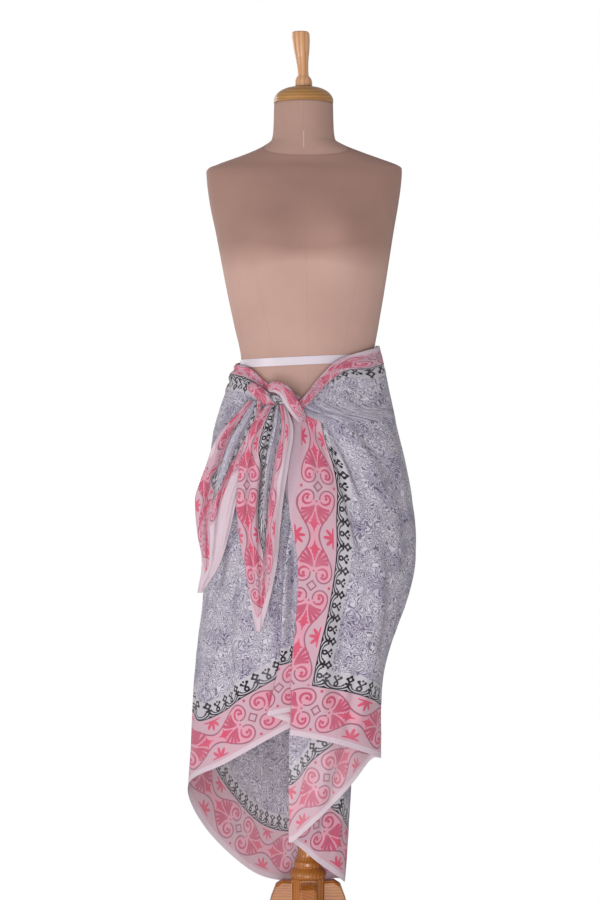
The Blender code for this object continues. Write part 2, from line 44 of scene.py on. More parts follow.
def smoothCurve(at, points, wanted, eased=None):
    # cubic pieces through rows of points: each piece leaves with the slope that the rows on both
    # sides give, held back to zero at a turning point unless that row is eased
    at, points, wanted = (np.asarray(x, float) for x in (at, points, wanted))
    step = np.diff(at)[:, None]
    slope = np.diff(points, axis=0) / step
    before, after = slope[:-1], slope[1:]
    sameWay = before * after > 0
    weightBefore, weightAfter = 2 * step[1:] + step[:-1], step[1:] + 2 * step[:-1]
    safeBefore, safeAfter = np.where(sameWay, before, 1), np.where(sameWay, after, 1)
    held = (weightBefore + weightAfter) / (weightBefore / safeBefore + weightAfter / safeAfter)
    inner = np.where(sameWay, held, 0)
    if eased is not None:
        free = (before * step[1:] + after * step[:-1]) / (step[:-1] + step[1:])
        inner = np.where(np.asarray(eased)[1:-1, None], free, inner)
    tangent = np.vstack([slope[:1], inner, slope[-1:]])
    i = np.clip(np.searchsorted(at, wanted, side="right") - 1, 0, len(at) - 2)
    h = step[i]
    t = (wanted - at[i])[:, None] / h
    return (
        (2 * t**3 - 3 * t**2 + 1) * points[i] + (t**3 - 2 * t**2 + t) * h * tangent[i]
        + (3 * t**2 - 2 * t**3) * points[i + 1] + (t**3 - t**2) * h * tangent[i + 1]
    )


def ramp(x, low, high):
    # 0 below low, 1 above high, and a soft S between them
    t = np.clip((x - low) / (high - low), 0, 1)
    return t * t * (3 - 2 * t)


def plateau(x, low, rise, fall, high):
    # 1 from rise to fall, 0 below low and above high
    return ramp(x, low, rise) * (1 - ramp(x, fall, high))


def runAlong(points):
    # the distance along a line of points, from the first one
    return np.concatenate([[0], np.cumsum(np.linalg.norm(np.diff(points, axis=0), axis=1))])


def unit(vectors):
    return vectors / np.maximum(np.linalg.norm(vectors, axis=-1, keepdims=True), 1e-12)


# The dress form, as horizontal sections: an oval |x/a|^n + |y/b|^n = 1 whose depth b differs front
# and back.
form = {
    "bottom": 0.850,
    "top": 1.633,
    # height, half width, depth in front, depth at the back, squareness n, lean to the side
    "sections": np.array([
        (0.850, 0.154, 0.098, 0.116, 2.3, 0.000), (0.920, 0.163, 0.104, 0.123, 2.3, 0.000),
        (1.010, 0.155, 0.100, 0.110, 2.25, 0.000), (1.100, 0.134, 0.092, 0.091, 2.2, 0.000),
        (1.168, 0.119, 0.086, 0.080, 2.15, -0.001), (1.237, 0.1305, 0.090, 0.086, 2.15, -0.003),
        (1.284, 0.1395, 0.094, 0.092, 2.15, -0.004), (1.338, 0.1490, 0.098, 0.097, 2.2, -0.005),
        (1.399, 0.1595, 0.101, 0.100, 2.25, -0.006), (1.455, 0.1700, 0.094, 0.098, 2.3, -0.007),
        (1.494, 0.1750, 0.080, 0.090, 2.3, -0.007), (1.510, 0.1760, 0.071, 0.083, 2.2, -0.007),
        (1.5165, 0.1735, 0.066, 0.079, 2.15, -0.005), (1.523, 0.161, 0.062, 0.075, 2.1, -0.002),
        (1.534, 0.131, 0.058, 0.070, 2.05, -0.002), (1.546, 0.0985, 0.056, 0.064, 2.0, -0.003),
        (1.558, 0.0715, 0.054, 0.058, 2.0, -0.006), (1.568, 0.0575, 0.053, 0.055, 2.0, -0.008),
        (1.585, 0.0545, 0.052, 0.053, 2.0, -0.008), (1.633, 0.0530, 0.052, 0.052, 2.0, -0.008),
    ]),
    "bustHeight": 1.392,
    "bustApart": 0.070,
    "bustDepth": 0.027,
    "bustWide": 0.058,
    "bustHigh": 0.050,
    "bustSides": 2.5,
}


def formSection(z):
    rows = form["sections"]
    return smoothCurve(rows[:, 0], rows[:, 1:], np.clip(z, form["bottom"], form["top"])).T


def formRadius(angle, z):
    # how far the form's surface is from its middle at an angle round from the front
    halfWidth, front, back, squareness, _ = formSection(z)
    depth = np.where(np.cos(angle) > 0, front, back)
    across, along = np.abs(np.sin(angle)) / halfWidth, np.abs(np.cos(angle)) / depth
    return (across**squareness + along**squareness) ** (-1 / squareness)


# The wound cloth. Each row is a fold or turning point, from the free edge of the over panel to the
# hidden end. Angles are degrees round the form from the front, lifts millimetres off it, the rest
# millimetres. Turn is how far apart the layers of a fold lie, above 0 where the cloth turns in. Roll
# is how far the upper edge stands out. Print is how far along the flat cloth the hem is here, from
# the free end.
wrap = {
    "columns": (
        "waistAngle", "waistZ", "waistLift", "highAngle", "highLift", "hipAngle", "hipLift",
        "thighX", "thighY", "kneeX", "kneeY", "hemX", "hemY", "hemZ", "turn", "roll", "print",
    ),
    "stations": {
        "freeEdge":    (-16, 1086, 23, -22, 26, -15, 29, -5, -131, 20, -131, 28, -128, 513, 0, 0, 0),
        "overEdge":    (-11, 1092, 25, -13, 29, -14, 35, -19, -138, -30, -138, -31, -135, 514, -5, 0, 59),
        "overMiddle":  (13, 1143, 20, 25, 26, 41, 26, 76, -134, 64, -134, 47, -132, 499, 0, 5, 164),
        "overSide":    (34, 1172, 12, 52, 21, 66, 25, 152, -104, 112, -108, 100, -106, 480, 0, 6, 230),
        "rightFold":   (86, 1197, 3, 87, 10, 89, 22, 191, -18, 130, -58, 128, -70, 466, 6, 1, 285),
        "turnBack":    (48, 1135, 9, 49, 11, 50, 13, 98, -104, 76, -103, 47, -90, 389, 0, 0, 460),
        "innerFold":   (12, 1085, 10, 3, 9, -6, 8, -22, -105, -32, -101, -34, -84, 319, 6, 0, 585),
        "turnForward": (45, 1125, 5, 46, 5, 48, 7, 88, -90, 52, -80, 18, -60, 278, 0, 0, 677),
        "rightBack":   (94, 1190, 2.1, 94, 5, 95, 8, 166, 14, 98, 4, 64, -15, 237, 0, 3, 753),
        "backRight":   (135, 1196, 5, 135, 6, 135, 8, 122, 104, 84, 92, 52, 66, 227, 0, 3, 861),
        "backMiddle":  (180, 1200, 5, 180, 7, 180, 10, 0, 142, -8, 124, -20, 97, 215, 0, 3, 963),
        "backLeft":    (225, 1186, 5, 225, 9, 225, 9, -122, 110, -124, 98, -104, 76, 239, 0, 3, 1080),
        "leftBack":    (250, 1171, 6, 250, 15, 250, 12, -166, 56, -180, 52, -186, 42, 323, 0, 4, 1202),
        "leftSide":    (270, 1165, 9, 271, 21, 272, 16, -179, -4, -201, -4, -216, 0, 403, 0, 5, 1297),
        "underMiddle": (300, 1156, 10, 308, 18, 316, 15, -120, -97, -132, -92, -141, -82, 460, 0, 5, 1418),
        "pleatBack":   (324, 1125, 9, 342, 13, 352, 16, -17, -117, -15, -116, -17, -111, 529, -5, 3, 1563),
        "pleatFront":  (334, 1116, 17, 338, 19, 347, 21, -38, -122, -58, -121, -72, -116, 546, -5, 3, 1648),
        "underPleat":  (345, 1109, 17, 350, 20, 356, 22, -10, -125, 2, -124, 2, -119, 558, 0, 2, 1723),
        "hiddenEnd":   (352, 1105, 14, 364, 18, 376, 20, 30, -121, 44, -120, 50, -115, 548, 0, 0, 1772),
    },
    # the stretch that stands for each solid, its first and last station, and its flat size in metres
    "stretches": {
        "over_panel": ("freeEdge", "rightFold", (0.30, 0.66)),
        "fold_outer": ("rightFold", "innerFold", (0.29, 0.74)),
        "fold_inner": ("innerFold", "rightBack", (0.18, 0.86)),
        "back_panel": ("rightBack", "leftSide", (0.58, 0.98)),
        "under_panel": ("leftSide", "hiddenEnd", (0.42, 0.62)),
    },
    "levelHeights": {"high": 1.050, "hip": 0.920, "thigh": 0.820, "knee": 0.600},
    "formArcs": (0.110, 0.130, 0.150),
    "columnStep": 0.0040,
    "rowStep": 0.0040,
    "turnColumns": 8,
    "flap": 0.016,
    "crumple": 0.0011,
    "thickness": 0.0008,
    # print that the knot draws in from the free edge, by distance from it, and between which heights
    "drawnIn": (((0, 0.045, 0.125, 0.230), (0, 0.020, 0.008, 0)), (0.870, 0.975)),
    # print that moves on beside the knot: how far, from how far along, and between which heights
    "pulled": ((0.135, (-1, -0.5), (1.058, 1.090)), (0.030, (0.100, 0.108), (0.985, 1.050))),
    "hemWindow": 25,
    # how much creases that sink are held back over the hips, and between which heights that begins
    "held": 0.9,
    "heldAbove": (0.84, 0.92),
}


def woundStations():
    # Every level's points in the order of the cloth, a fold as three points round its turn.
    # On the form a place is held as arc length and lift, so that the cloth between follows the form.
    names = list(wrap["stations"])
    column = dict(zip(wrap["columns"], np.array(list(wrap["stations"].values()), float).T))
    onForm = [
        (np.radians(column[level + "Angle"]) * arc, -column[level + "Lift"] * mm)
        for level, arc in zip(("waist", "high", "hip"), wrap["formArcs"])
    ]
    hanging = [(column[level + "X"] * mm, column[level + "Y"] * mm) for level in ("thigh", "knee", "hem")]
    flat = np.array(onForm + hanging).transpose(0, 2, 1)
    heights = wrap["levelHeights"]
    places, labels = [], []
    for k, name in enumerate(names):
        turn = column["turn"][k] * mm
        tall = (column["waistZ"][k] * mm, *heights.values(), column["hemZ"][k] * mm)
        for step in (-1, 0, 1) if turn else (0,):
            spots = []
            for level, here in enumerate(flat[:, k]):
                moved = here
                if step:
                    arriving = unit(here - flat[level, k - 1])
                    leaving = unit(flat[level, k + 1] - here)
                    inward = np.array([0.0, 1.0]) if level < 3 else -here
                    inward = unit(inward - (inward @ arriving) * arriving)
                    doubled = min(1.0, max(0.0, -2 * (arriving @ leaving)))
                    moved = here + (-arriving if step < 0 else leaving) * abs(turn) / 2
                    moved = moved + inward * turn / 2 * step * doubled
                rolled = column["roll"][k] * (step < 1) * mm
                printed = column["print"][k] * mm + 0.8 * abs(turn) * step
                spots.append((*moved, tall[level], rolled, printed))
            places.append(spots)
            labels.append((name, bool(turn)))
    return np.array(places).transpose(1, 0, 2), labels


def levelsInSpace(levels):
    # arc and lift become xyz on the three levels that lie on the form
    found = []
    for k, level in enumerate(levels):
        if k < 3:
            angle = level[:, 0] / wrap["formArcs"][k]
            radius = formRadius(angle, level[:, 2]) - level[:, 1]
            found.append(np.stack([radius * np.sin(angle), -radius * np.cos(angle), level[:, 2]], axis=-1))
        else:
            found.append(level[:, :3])
    return np.array(found)


levelPoints, levelLabels = woundStations()
levelNames = [name for name, _ in levelLabels]
levelEased = np.array([not folded for _, folded in levelLabels])
levelChords = np.linalg.norm(np.diff(levelsInSpace(levelPoints), axis=1), axis=2)
stationAt = np.concatenate([[0], np.cumsum(np.sqrt(levelChords.mean(axis=0)))])


def woundAt(wanted):
    found = np.array([smoothCurve(stationAt, level, wanted, levelEased) for level in levelPoints])
    printed = smoothCurve(stationAt, levelPoints[0][:, 4:], wanted)[:, 0]
    return levelsInSpace(found), found[0, :, 3], printed


def stretchPlaces(first, last):
    # columns along the cloth, a step apart at its widest level and closer round each fold
    i = len(levelNames) - 1 - levelNames[::-1].index(first) if first != levelNames[0] else 0
    j = len(levelNames) - 1 - levelNames[::-1].index(last)
    pieces = []
    for k in range(i, j):
        folded = levelNames[k] == levelNames[k + 1]
        count = wrap["turnColumns"] if folded else math.ceil(levelChords[:, k].max() / wrap["columnStep"])
        pieces.append(np.linspace(stationAt[k], stationAt[k + 1], count, endpoint=False))
    return np.concatenate([*pieces, [stationAt[j]]])


# The rolled upper edge: how far down the edge, how far it stands out as a share of the roll, and how
# far down the flat cloth the print there is. The cloth is gathered in the roll, so the print is
# squeezed.
rolledEdge = {
    "depth": 0.058,
    "rows": 34,
    "profile": np.array([
        (0.000, 0.30, 0.000), (0.005, 0.62, 0.007), (0.0105, 0.05, 0.018), (0.0125, 0.15, 0.030),
        (0.017, 0.80, 0.042), (0.023, 1.05, 0.058), (0.029, 0.72, 0.074), (0.0335, 0.10, 0.086),
        (0.0355, 0.12, 0.091), (0.041, 0.45, 0.098), (0.048, 0.42, 0.105), (0.058, 0.00, 0.115),
        (0.080, 0.00, 0.138), (0.400, 0.00, 0.900),
    ]),
    # the roll narrows towards the knot: between two angles, down to a share
    "narrows": (12, 62, 0.66),
    # print that is tucked under: how far it moves on, from how far down, and between which angles
    # round the form
    "tucks": (
        (0.009, (-1, 0), (-130, -100, 26, 60)),
        (0.032, (0.0325, 0.0360), (-42, -28, 14, 28)),
        (0.010, (0.010, 0.014), (20, 34, 100, 130)),
    ),
    # left of the knot the band folds another way: its angles, and the print at each distance down
    "leftTuck": ((-130, -100, -46, -34), (0, 0.018, 0.050, 0.400), (0.028, 0.089, 0.121, 0.900)),
    "gatherPitch": 0.013,
    "gatherDepth": 0.0011,
    "gatherSlant": 0.9,
}


def hang(levels, rowCount):
    # Each column runs from the upper edge to the hem through its levels: the angle round the axis,
    # the distance from it and the height are smooth curves of the distance down. Returns rows by
    # columns of points, and how far each is from the upper edge and from the hem.
    reach = np.linalg.norm(np.diff(levels, axis=0), axis=2)
    down = np.vstack([np.zeros(levels.shape[1]), np.cumsum(reach, axis=0)])
    angle = np.unwrap(np.arctan2(levels[..., 0], -levels[..., 1]), axis=0)
    radius = np.hypot(levels[..., 0], levels[..., 1])
    roundAxis = np.stack([angle, radius, levels[..., 2]], axis=-1)
    top = np.linspace(0, rolledEdge["depth"], rolledEdge["rows"])[:-1]
    points, fromTop = [], []
    for k in range(levels.shape[1]):
        wanted = np.concatenate([top, np.linspace(rolledEdge["depth"], down[-1, k], rowCount - len(top))])
        turned, far, height = smoothCurve(down[:, k], roundAxis[:, k], wanted, [True] * len(levels)).T
        points.append(np.stack([far * np.sin(turned), -far * np.cos(turned), height], axis=-1))
        fromTop.append(wanted)
    points = np.array(points).transpose(1, 0, 2)
    fromTop = np.array(fromTop).T
    step = np.linalg.norm(np.diff(points, axis=0), axis=2)
    fromHem = np.vstack([np.cumsum(step[::-1], axis=0)[::-1], np.zeros(points.shape[1])])
    return points, fromTop, fromHem


def gridNormals(points):
    # square to the steps down the columns and along the rows, on the printed side of the cloth
    return unit(np.cross(np.gradient(points, axis=0), np.gradient(points, axis=1)))


def softNoise(u, v, size, seed):
    # random heights from -1 to 1 on a square lattice, blended with an S curve in between
    lattice = np.random.default_rng(seed).uniform(-1, 1, (64, 64))
    u, v = u / size, v / size
    i, j = np.floor(u).astype(int), np.floor(v).astype(int)
    a, b = u - i, v - j
    a, b = a * a * (3 - 2 * a), b * b * (3 - 2 * b)
    i, j, k, l = i % 64, j % 64, (i + 1) % 64, (j + 1) % 64
    low = lattice[i, j] * (1 - a) + lattice[k, j] * a
    high = lattice[i, l] * (1 - a) + lattice[k, l] * a
    return low * (1 - b) + high * b


def foldAlong(place, path, widths, depth, ease=0.3):
    # A soft trough or ridge beside a bent line. place is a grid of 2-D points, path three of them,
    # and the height falls off as exp(-(distance / width)^2), with its own width on each side, and
    # fades towards both ends.
    start, middle, end = (np.asarray(p, float) for p in path)
    t = np.linspace(0, 1, 25)[:, None]
    control = 2 * middle - (start + end) / 2
    bent = (1 - t) ** 2 * start + 2 * t * (1 - t) * control + t**2 * end
    nearest = np.full(place.shape[:-1], np.inf)
    side, along = np.zeros_like(nearest), np.zeros_like(nearest)
    for k in range(len(bent) - 1):
        a, d = bent[k], bent[k + 1] - bent[k]
        offset = place - a
        share = np.clip((offset @ d) / (d @ d), 0, 1)
        away = np.linalg.norm(offset - share[..., None] * d, axis=-1)
        closer = away < nearest
        nearest = np.where(closer, away, nearest)
        side = np.where(closer, d[0] * offset[..., 1] - d[1] * offset[..., 0], side)
        along = np.where(closer, (k + share) / (len(bent) - 1), along)
    width = np.where(side > 0, widths[0], widths[1])
    fade = ramp(along, 0, ease) * ramp(1 - along, 0, ease)
    return depth * np.exp(-((nearest / width) ** 2)) * fade


# Creases, placed on the stretch they cross: where each starts, bends and ends, as degrees
# round from the front and height in mm, then its width in mm on the left and the right of that way,
# and its depth, below 0 inwards.
creases = {
    "over_panel": [
        (14, 1072, 31, 987, 44, 905, 12, 6, -11.0),
        (17, 1052, 28, 937, 37, 815, 9, 6, -10.0),
        (20, 1040, 30, 960, 40, 860, 7, 7, 3.0),
        (1, 1066, 13, 1012, 24, 918, 5, 7, -6.0),
        (-3, 1054, 1, 992, 5, 888, 9, 11, 5.2),
        (22, 1080, 50, 1016, 68, 915, 12, 16, -5.2),
        (17, 1078, 41, 1018, 60, 902, 9, 9, 4.2),
        (50, 890, 54, 764, 51, 634, 15, 13, -6.0),
        (44, 860, 46, 730, 44, 560, 12, 12, 3.8),
        (27, 800, 24, 664, 21, 500, 11, 13, -6.8),
        (36, 752, 40, 610, 34, 498, 13, 11, 4.5),
        (66, 1012, 69, 886, 68, 742, 14, 16, -3.9),
        (15, 752, 12, 646, 10, 512, 9, 10, 4.5),
        (33, 640, 31, 560, 27, 498, 8, 10, -5.2),
        (77, 1100, 78, 990, 80, 850, 16, 12, -3.8),
        (60, 1090, 70, 1060, 80, 1010, 8, 9, -3.0),
    ],
    "fold_outer": [
        (40, 520, 30, 440, 22, 370, 13, 12, -5.2),
        (24, 560, 16, 450, 8, 350, 12, 12, 4.5),
        (70, 560, 60, 470, 52, 400, 14, 12, -5.2),
    ],
    "fold_inner": [
        (30, 470, 24, 370, 14, 290, 12, 12, -4.5),
        (62, 520, 56, 390, 46, 270, 13, 14, 4.5),
    ],
    "back_panel": [
        (104, 1130, 106, 900, 103, 480, 15, 19, -7.5),
        (118, 1080, 121, 820, 124, 360, 20, 16, 6.0),
        (131, 1120, 133, 860, 139, 300, 15, 17, -8.2),
        (147, 1040, 149, 760, 157, 270, 19, 20, 6.8),
        (160, 1100, 163, 780, 170, 250, 16, 15, -6.8),
        (174, 1010, 177, 700, 186, 240, 18, 21, 6.0),
        (189, 1120, 190, 820, 199, 250, 15, 18, -8.2),
        (203, 1060, 205, 760, 213, 270, 18, 16, 6.8),
        (216, 1130, 219, 860, 228, 300, 16, 15, -7.5),
        (232, 1020, 235, 740, 243, 330, 19, 17, 5.2),
        (246, 1110, 249, 850, 255, 380, 15, 17, -6.8),
        (259, 1050, 262, 780, 267, 430, 17, 15, 4.5),
        (140, 1160, 150, 1120, 163, 1060, 10, 12, -4.5),
        (205, 1160, 199, 1100, 190, 1020, 11, 10, -4.5),
        (226, 1150, 232, 1080, 240, 990, 10, 12, -3.9),
        (112, 1150, 119, 1090, 127, 1010, 11, 10, -3.9),
    ],
    "under_panel": [
        (326, 958, 322, 783, 325, 592, 13, 10, -6.8),
        (340, 924, 342, 748, 340, 630, 8, 8, 6.8),
        (348, 888, 347, 748, 344, 643, 6, 7, -6.0),
        (303, 818, 300, 658, 297, 506, 15, 13, -4.5),
        (312, 852, 310, 677, 309, 534, 11, 12, 4.5),
        (287, 1046, 289, 886, 291, 705, 14, 15, -4.5),
        (313, 1100, 301, 1030, 290, 922, 9, 10, -5.2),
        (321, 1088, 312, 1010, 303, 900, 8, 9, 4.5),
        (279, 980, 280, 800, 282, 560, 13, 12, 3.9),
        (333, 880, 332, 740, 333, 600, 7, 8, 3.3),
    ],
}


def addObject(name, mesh, layers):
    # a finished mesh becomes an object at the origin, with its materials
    for layer in layers:
        mesh.materials.append(layer)
    made = bpy.data.objects.new(name, mesh)
    bpy.context.scene.collection.objects.link(made)
    return made


def carry(piece, node):
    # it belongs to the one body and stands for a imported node
    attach(piece, "root")
    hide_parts(node)
    return piece


def shellMesh(name, points, normals, thickness, layers, uvMaps):
    # A closed thin shell: the grid moved half the thickness both ways along its normals, and a rim
    # between them. Both sides keep the grid's own normals, so that neighbouring stretches shade as
    # one cloth.
    rows, columns = points.shape[:2]
    count = rows * columns
    offset = normals * thickness / 2
    vertices = np.concatenate([points + offset, points - offset]).reshape(-1, 3)
    index = np.arange(count).reshape(rows, columns)
    outer = np.stack([index[:-1, :-1], index[1:, :-1], index[1:, 1:], index[:-1, 1:]], axis=-1).reshape(-1, 4)
    rim = np.concatenate([index[0, :], index[1:, -1], index[-1, -2::-1], index[-2:0:-1, 0]])
    following = np.roll(rim, -1)
    sides = np.stack([rim, following, following + count, rim + count], axis=-1)
    faces = np.concatenate([outer, outer[:, ::-1] + count, sides]).astype(np.int32)
    layerOf = np.repeat([0, 1, 1], [len(outer), len(outer), len(sides)]).astype(np.int32)
    mesh = bpy.data.meshes.new(name)
    mesh.vertices.add(len(vertices))
    mesh.vertices.foreach_set("co", vertices.astype(np.float32).ravel())
    mesh.loops.add(faces.size)
    mesh.loops.foreach_set("vertex_index", faces.ravel())
    mesh.polygons.add(len(faces))
    mesh.polygons.foreach_set("loop_start", np.arange(0, faces.size, 4, dtype=np.int32))
    mesh.polygons.foreach_set("material_index", layerOf)
    for mapName, values in uvMaps.items():
        flat = values.reshape(-1, 2).astype(np.float32)
        uv = mesh.uv_layers.new(name=mapName)
        uv.data.foreach_set("uv", np.concatenate([flat, flat])[faces.ravel()].ravel())
    mesh.update(calc_edges=True)
    mesh.validate()
    mesh.shade_smooth()
    flatNormals = normals.reshape(-1, 3)
    mesh.normals_split_custom_set_from_vertices(np.concatenate([flatNormals, -flatNormals]).tolist())
    return addObject(name, mesh, layers)


def tubeMesh(name, rings, layers, uvMaps=None):
    # A closed body through rings of points, its ends closed by one point each; faces point outwards
    # whichever way the rings run.
    rows, columns = rings.shape[:2]
    poles = rings[[0, -1]].mean(axis=1)
    vertices = np.concatenate([rings.reshape(-1, 3), poles])
    index = np.arange(rows * columns).reshape(rows, columns)
    following = np.roll(index, -1, axis=1)
    sides = np.stack([index[:-1], following[:-1], following[1:], index[1:]], axis=-1).reshape(-1, 4)
    first, last = (np.full(columns, rows * columns + k) for k in (0, 1))
    starts = np.stack([following[0], index[0], first], axis=-1)
    ends = np.stack([index[-1], following[-1], last], axis=-1)
    a, b, c, d = (vertices[sides[:, k]] for k in range(4))
    volume = (np.cross(a - vertices[-2], c - vertices[-2]) * (b - d)).sum()
    if volume > 0:
        sides, starts, ends = sides[:, ::-1], starts[:, ::-1], ends[:, ::-1]
    mesh = bpy.data.meshes.new(name)
    mesh.from_pydata(vertices.tolist(), [], sides.tolist() + starts.tolist() + ends.tolist())
    for mapName, values in (uvMaps or {}).items():
        flat = values.reshape(-1, 2)
        flat = np.concatenate([flat, flat[:1], flat[-1:]]).astype(np.float32)
        corner = np.zeros(len(mesh.loops), np.int32)
        mesh.loops.foreach_get("vertex_index", corner)
        uv = mesh.uv_layers.new(name=mapName)
        uv.data.foreach_set("uv", flat[corner].ravel())
    mesh.update()
    mesh.validate()
    mesh.shade_smooth()
    return addObject(name, mesh, layers)


def edgePrint(fromTop, angle):
    # how far the roll stands out, as a share of itself, and how far from the flat cloth's edge the
    # print there is
    p = rolledEdge
    side = (np.degrees(angle) + 180) % 360 - 180
    near, far, least = p["narrows"]
    reach = fromTop / (least + (1 - least) * ramp(np.abs(side[0]), near, far))
    down, rows = p["profile"][:, 0], p["profile"][:, 1:]
    found = smoothCurve(down, rows, np.minimum(reach, down[-1]).ravel())
    standing, fromEdge = found.T.reshape(2, *fromTop.shape)
    fromEdge = fromEdge + np.maximum(reach - down[-1], 0)
    for shift, starts, angles in p["tucks"]:
        fromEdge = fromEdge + shift * ramp(reach, *starts) * plateau(side, *angles)
    angles, down, printedThere = p["leftTuck"]
    left = plateau(side, *angles)
    return standing, fromEdge * (1 - left) + left * np.interp(reach, down, printedThere)


def flatPlaces(points, printed, fromHem, overEnd):
    # Where the flat cloth lies: along from the free end, and for the print of the hem, along it and
    # square to it.
    z = points[..., 2]
    steps = np.linalg.norm(np.diff(points, axis=1), axis=2)
    rowArc = np.pad(np.cumsum(steps, axis=1), ((0, 0), (1, 0)))
    # above the hips the cloth keeps the places that it has there
    hipRow = np.argmin(np.abs(z - wrap["levelHeights"]["hip"]), axis=0)
    along = np.take_along_axis(rowArc, np.maximum(hipRow, np.arange(len(z))[:, None]), axis=0) + wrap["flap"]
    # the knot draws the free edge in, so its margin shows there, and pulls the field up to itself
    places, heights = wrap["drawnIn"]
    along = along - np.interp(along, *places) * ramp(z, *heights)
    for shift, starts, heights in wrap["pulled"]:
        along = along + shift * ramp(along, *starts) * ramp(z, *heights)
    along[:, overEnd:] = along[:, overEnd:overEnd + 1] + printed[overEnd:] - printed[overEnd]
    # the hem's print follows its slope, averaged over a short way
    hem = points[-1]
    hemArc = runAlong(hem[:, :2])
    even = np.arange(0, hemArc[-1], 0.002)
    window = wrap["hemWindow"]
    slope = np.gradient(np.interp(even, hemArc, hem[:, 2]), even)
    slope = np.convolve(np.pad(slope, window // 2, mode="edge"), np.ones(window) / window, mode="valid")
    lean = np.arctan(np.interp(hemArc, even, slope))
    return along, printed + fromHem * np.sin(lean), fromHem * np.cos(lean)


def creaseLift(points, angle, spans):
    # how far the creases move the cloth out, each on the stretch that it crosses
    z = points[..., 2]
    radius = np.hypot(points[..., 0], points[..., 1])
    lift = np.zeros(z.shape)
    for name, rows in creases.items():
        cut = slice(*spans[name])
        middle = radius[:, cut].mean()
        ground = np.stack([angle[:, cut] * middle, z[:, cut]], axis=-1)
        for a1, z1, a2, z2, a3, z3, left, right, depth in rows:
            path = [(math.radians(a) * middle, height * mm) for a, height in ((a1, z1), (a2, z2), (a3, z3))]
            lift[:, cut] += foldAlong(ground, path, (left * mm, right * mm), depth * mm)
    # over the form's hips the cloth has no room to sink, except in front
    held = ramp(z, *wrap["heldAbove"])
    held[:, :spans["over_panel"][1] - 1] = 0
    return np.where(lift < 0, lift * (1 - wrap["held"] * held), lift)


def buildWrap(layers):
    # The whole wound cloth is worked out as one grid, and each stretch is cut from it.
    spans, places = {}, np.zeros(0)
    for name, (first, last, _) in wrap["stretches"].items():
        here = stretchPlaces(first, last)
        start = max(len(places) - 1, 0)
        places = np.concatenate([places[:start], here])
        spans[name] = (start, len(places))
    levels, roll, printed = woundAt(places)
    longest = np.linalg.norm(np.diff(levels, axis=0), axis=2).sum(axis=0).max()
    rowCount = rolledEdge["rows"] + math.ceil(longest / wrap["rowStep"])
    points, fromTop, fromHem = hang(levels, rowCount)
    radial = unit(points * np.array([1, 1, 0]))
    angle = np.unwrap(np.arctan2(points[..., 0], -points[..., 1]), axis=1)
    standing, fromEdge = edgePrint(fromTop, angle)
    # fine gathers across the roll
    waves = (printed + rolledEdge["gatherSlant"] * fromTop) / rolledEdge["gatherPitch"]
    gather = np.sin(2 * math.pi * waves + 2.4 * softNoise(printed, fromTop, 0.031, 5))
    gather *= rolledEdge["gatherDepth"] * np.clip(roll / 0.003, 0, 1)
    gather *= ramp(rolledEdge["depth"] * 1.1 - fromTop, 0, 0.03) * (0.4 + 0.6 * ramp(fromTop, 0.004, 0.012))
    points = points + radial * (roll * standing + gather)[..., None]
    along, hemAlong, hemUp = flatPlaces(points, printed, fromHem, spans["over_panel"][1] - 1)
    uvMaps = {"cloth": (along, fromHem), "hem": (hemAlong, hemUp), "top": (along, fromEdge)}
    uvMaps = {key: np.stack(pair, axis=-1) for key, pair in uvMaps.items()}
    # creases move the cloth in or out, and a slight crumple moves it square to itself
    points = points + radial * creaseLift(points, angle, spans)[..., None]
    crumple = 0.5 * softNoise(along, fromHem, 0.047, 1)
    crumple += 0.35 * softNoise(along + 0.3 * fromHem, fromHem, 0.021, 2)
    crumple *= wrap["crumple"] * ramp(fromHem, -0.02, 0.05)
    points = points + gridNormals(points) * crumple[..., None]
    normals = gridNormals(points)
    thickness = wrap["thickness"]
    for name, span in spans.items():
        cut = slice(*span)
        maps = {key: value[:, cut] for key, value in uvMaps.items()}
        piece = shellMesh("sarong_" + name, points[:, cut], normals[:, cut], thickness, layers, maps)
        carry(piece, name)
    print("wound cloth:", points.shape, "rows by columns, in", len(spans), "stretches")


class Wire:
    # A socket with arithmetic: an expression on it adds its Math nodes to the material.
    def __init__(self, tree, socket):
        self.tree = tree
        self.socket = socket

    def maths(self, operation, *values):
        node = addNode(self.tree, "ShaderNodeMath", {"operation": operation}, dict(enumerate(values)))
        return Wire(self.tree, node.outputs[0])

    def __rsub__(self, other):
        return self.maths("SUBTRACT", other, self)

    def __abs__(self):
        return self.maths("ABSOLUTE", self)


def inOrder(operation):
    return lambda wire, other: wire.maths(operation, wire, other)


for method, operation in {
    "__add__": "ADD", "__radd__": "ADD", "__sub__": "SUBTRACT", "__mul__": "MULTIPLY", "__rmul__": "MULTIPLY",
    "__truediv__": "DIVIDE", "__pow__": "POWER", "__mod__": "FLOORED_MODULO", "__lt__": "LESS_THAN",
    "__gt__": "GREATER_THAN",
}.items():
    setattr(Wire, method, inOrder(operation))


def addNode(tree, kind, settings=None, inputs=None):
    # settings first, such as an operation, then a value or a link for each named socket
    node = tree.nodes.new(kind)
    for key, value in (settings or {}).items():
        setattr(node, key, value)
    for key, value in (inputs or {}).items():
        socket = node.inputs[key]
        if isinstance(value, Wire):
            tree.links.new(value.socket, socket)
        else:
            socket.default_value = value
    return node


def out(tree, node, name=0):
    return Wire(tree, node.outputs[name])


def lower(a, b):
    return a.maths("MINIMUM", a, b)


def higher(a, b):
    return a.maths("MAXIMUM", a, b)


def clamped(value):
    # held between 0 and 1
    return out(value.tree, addNode(value.tree, "ShaderNodeClamp", None, {"Value": value}))


def objectPlace(tree):
    return out(tree, addNode(tree, "ShaderNodeTexCoord"), "Object")


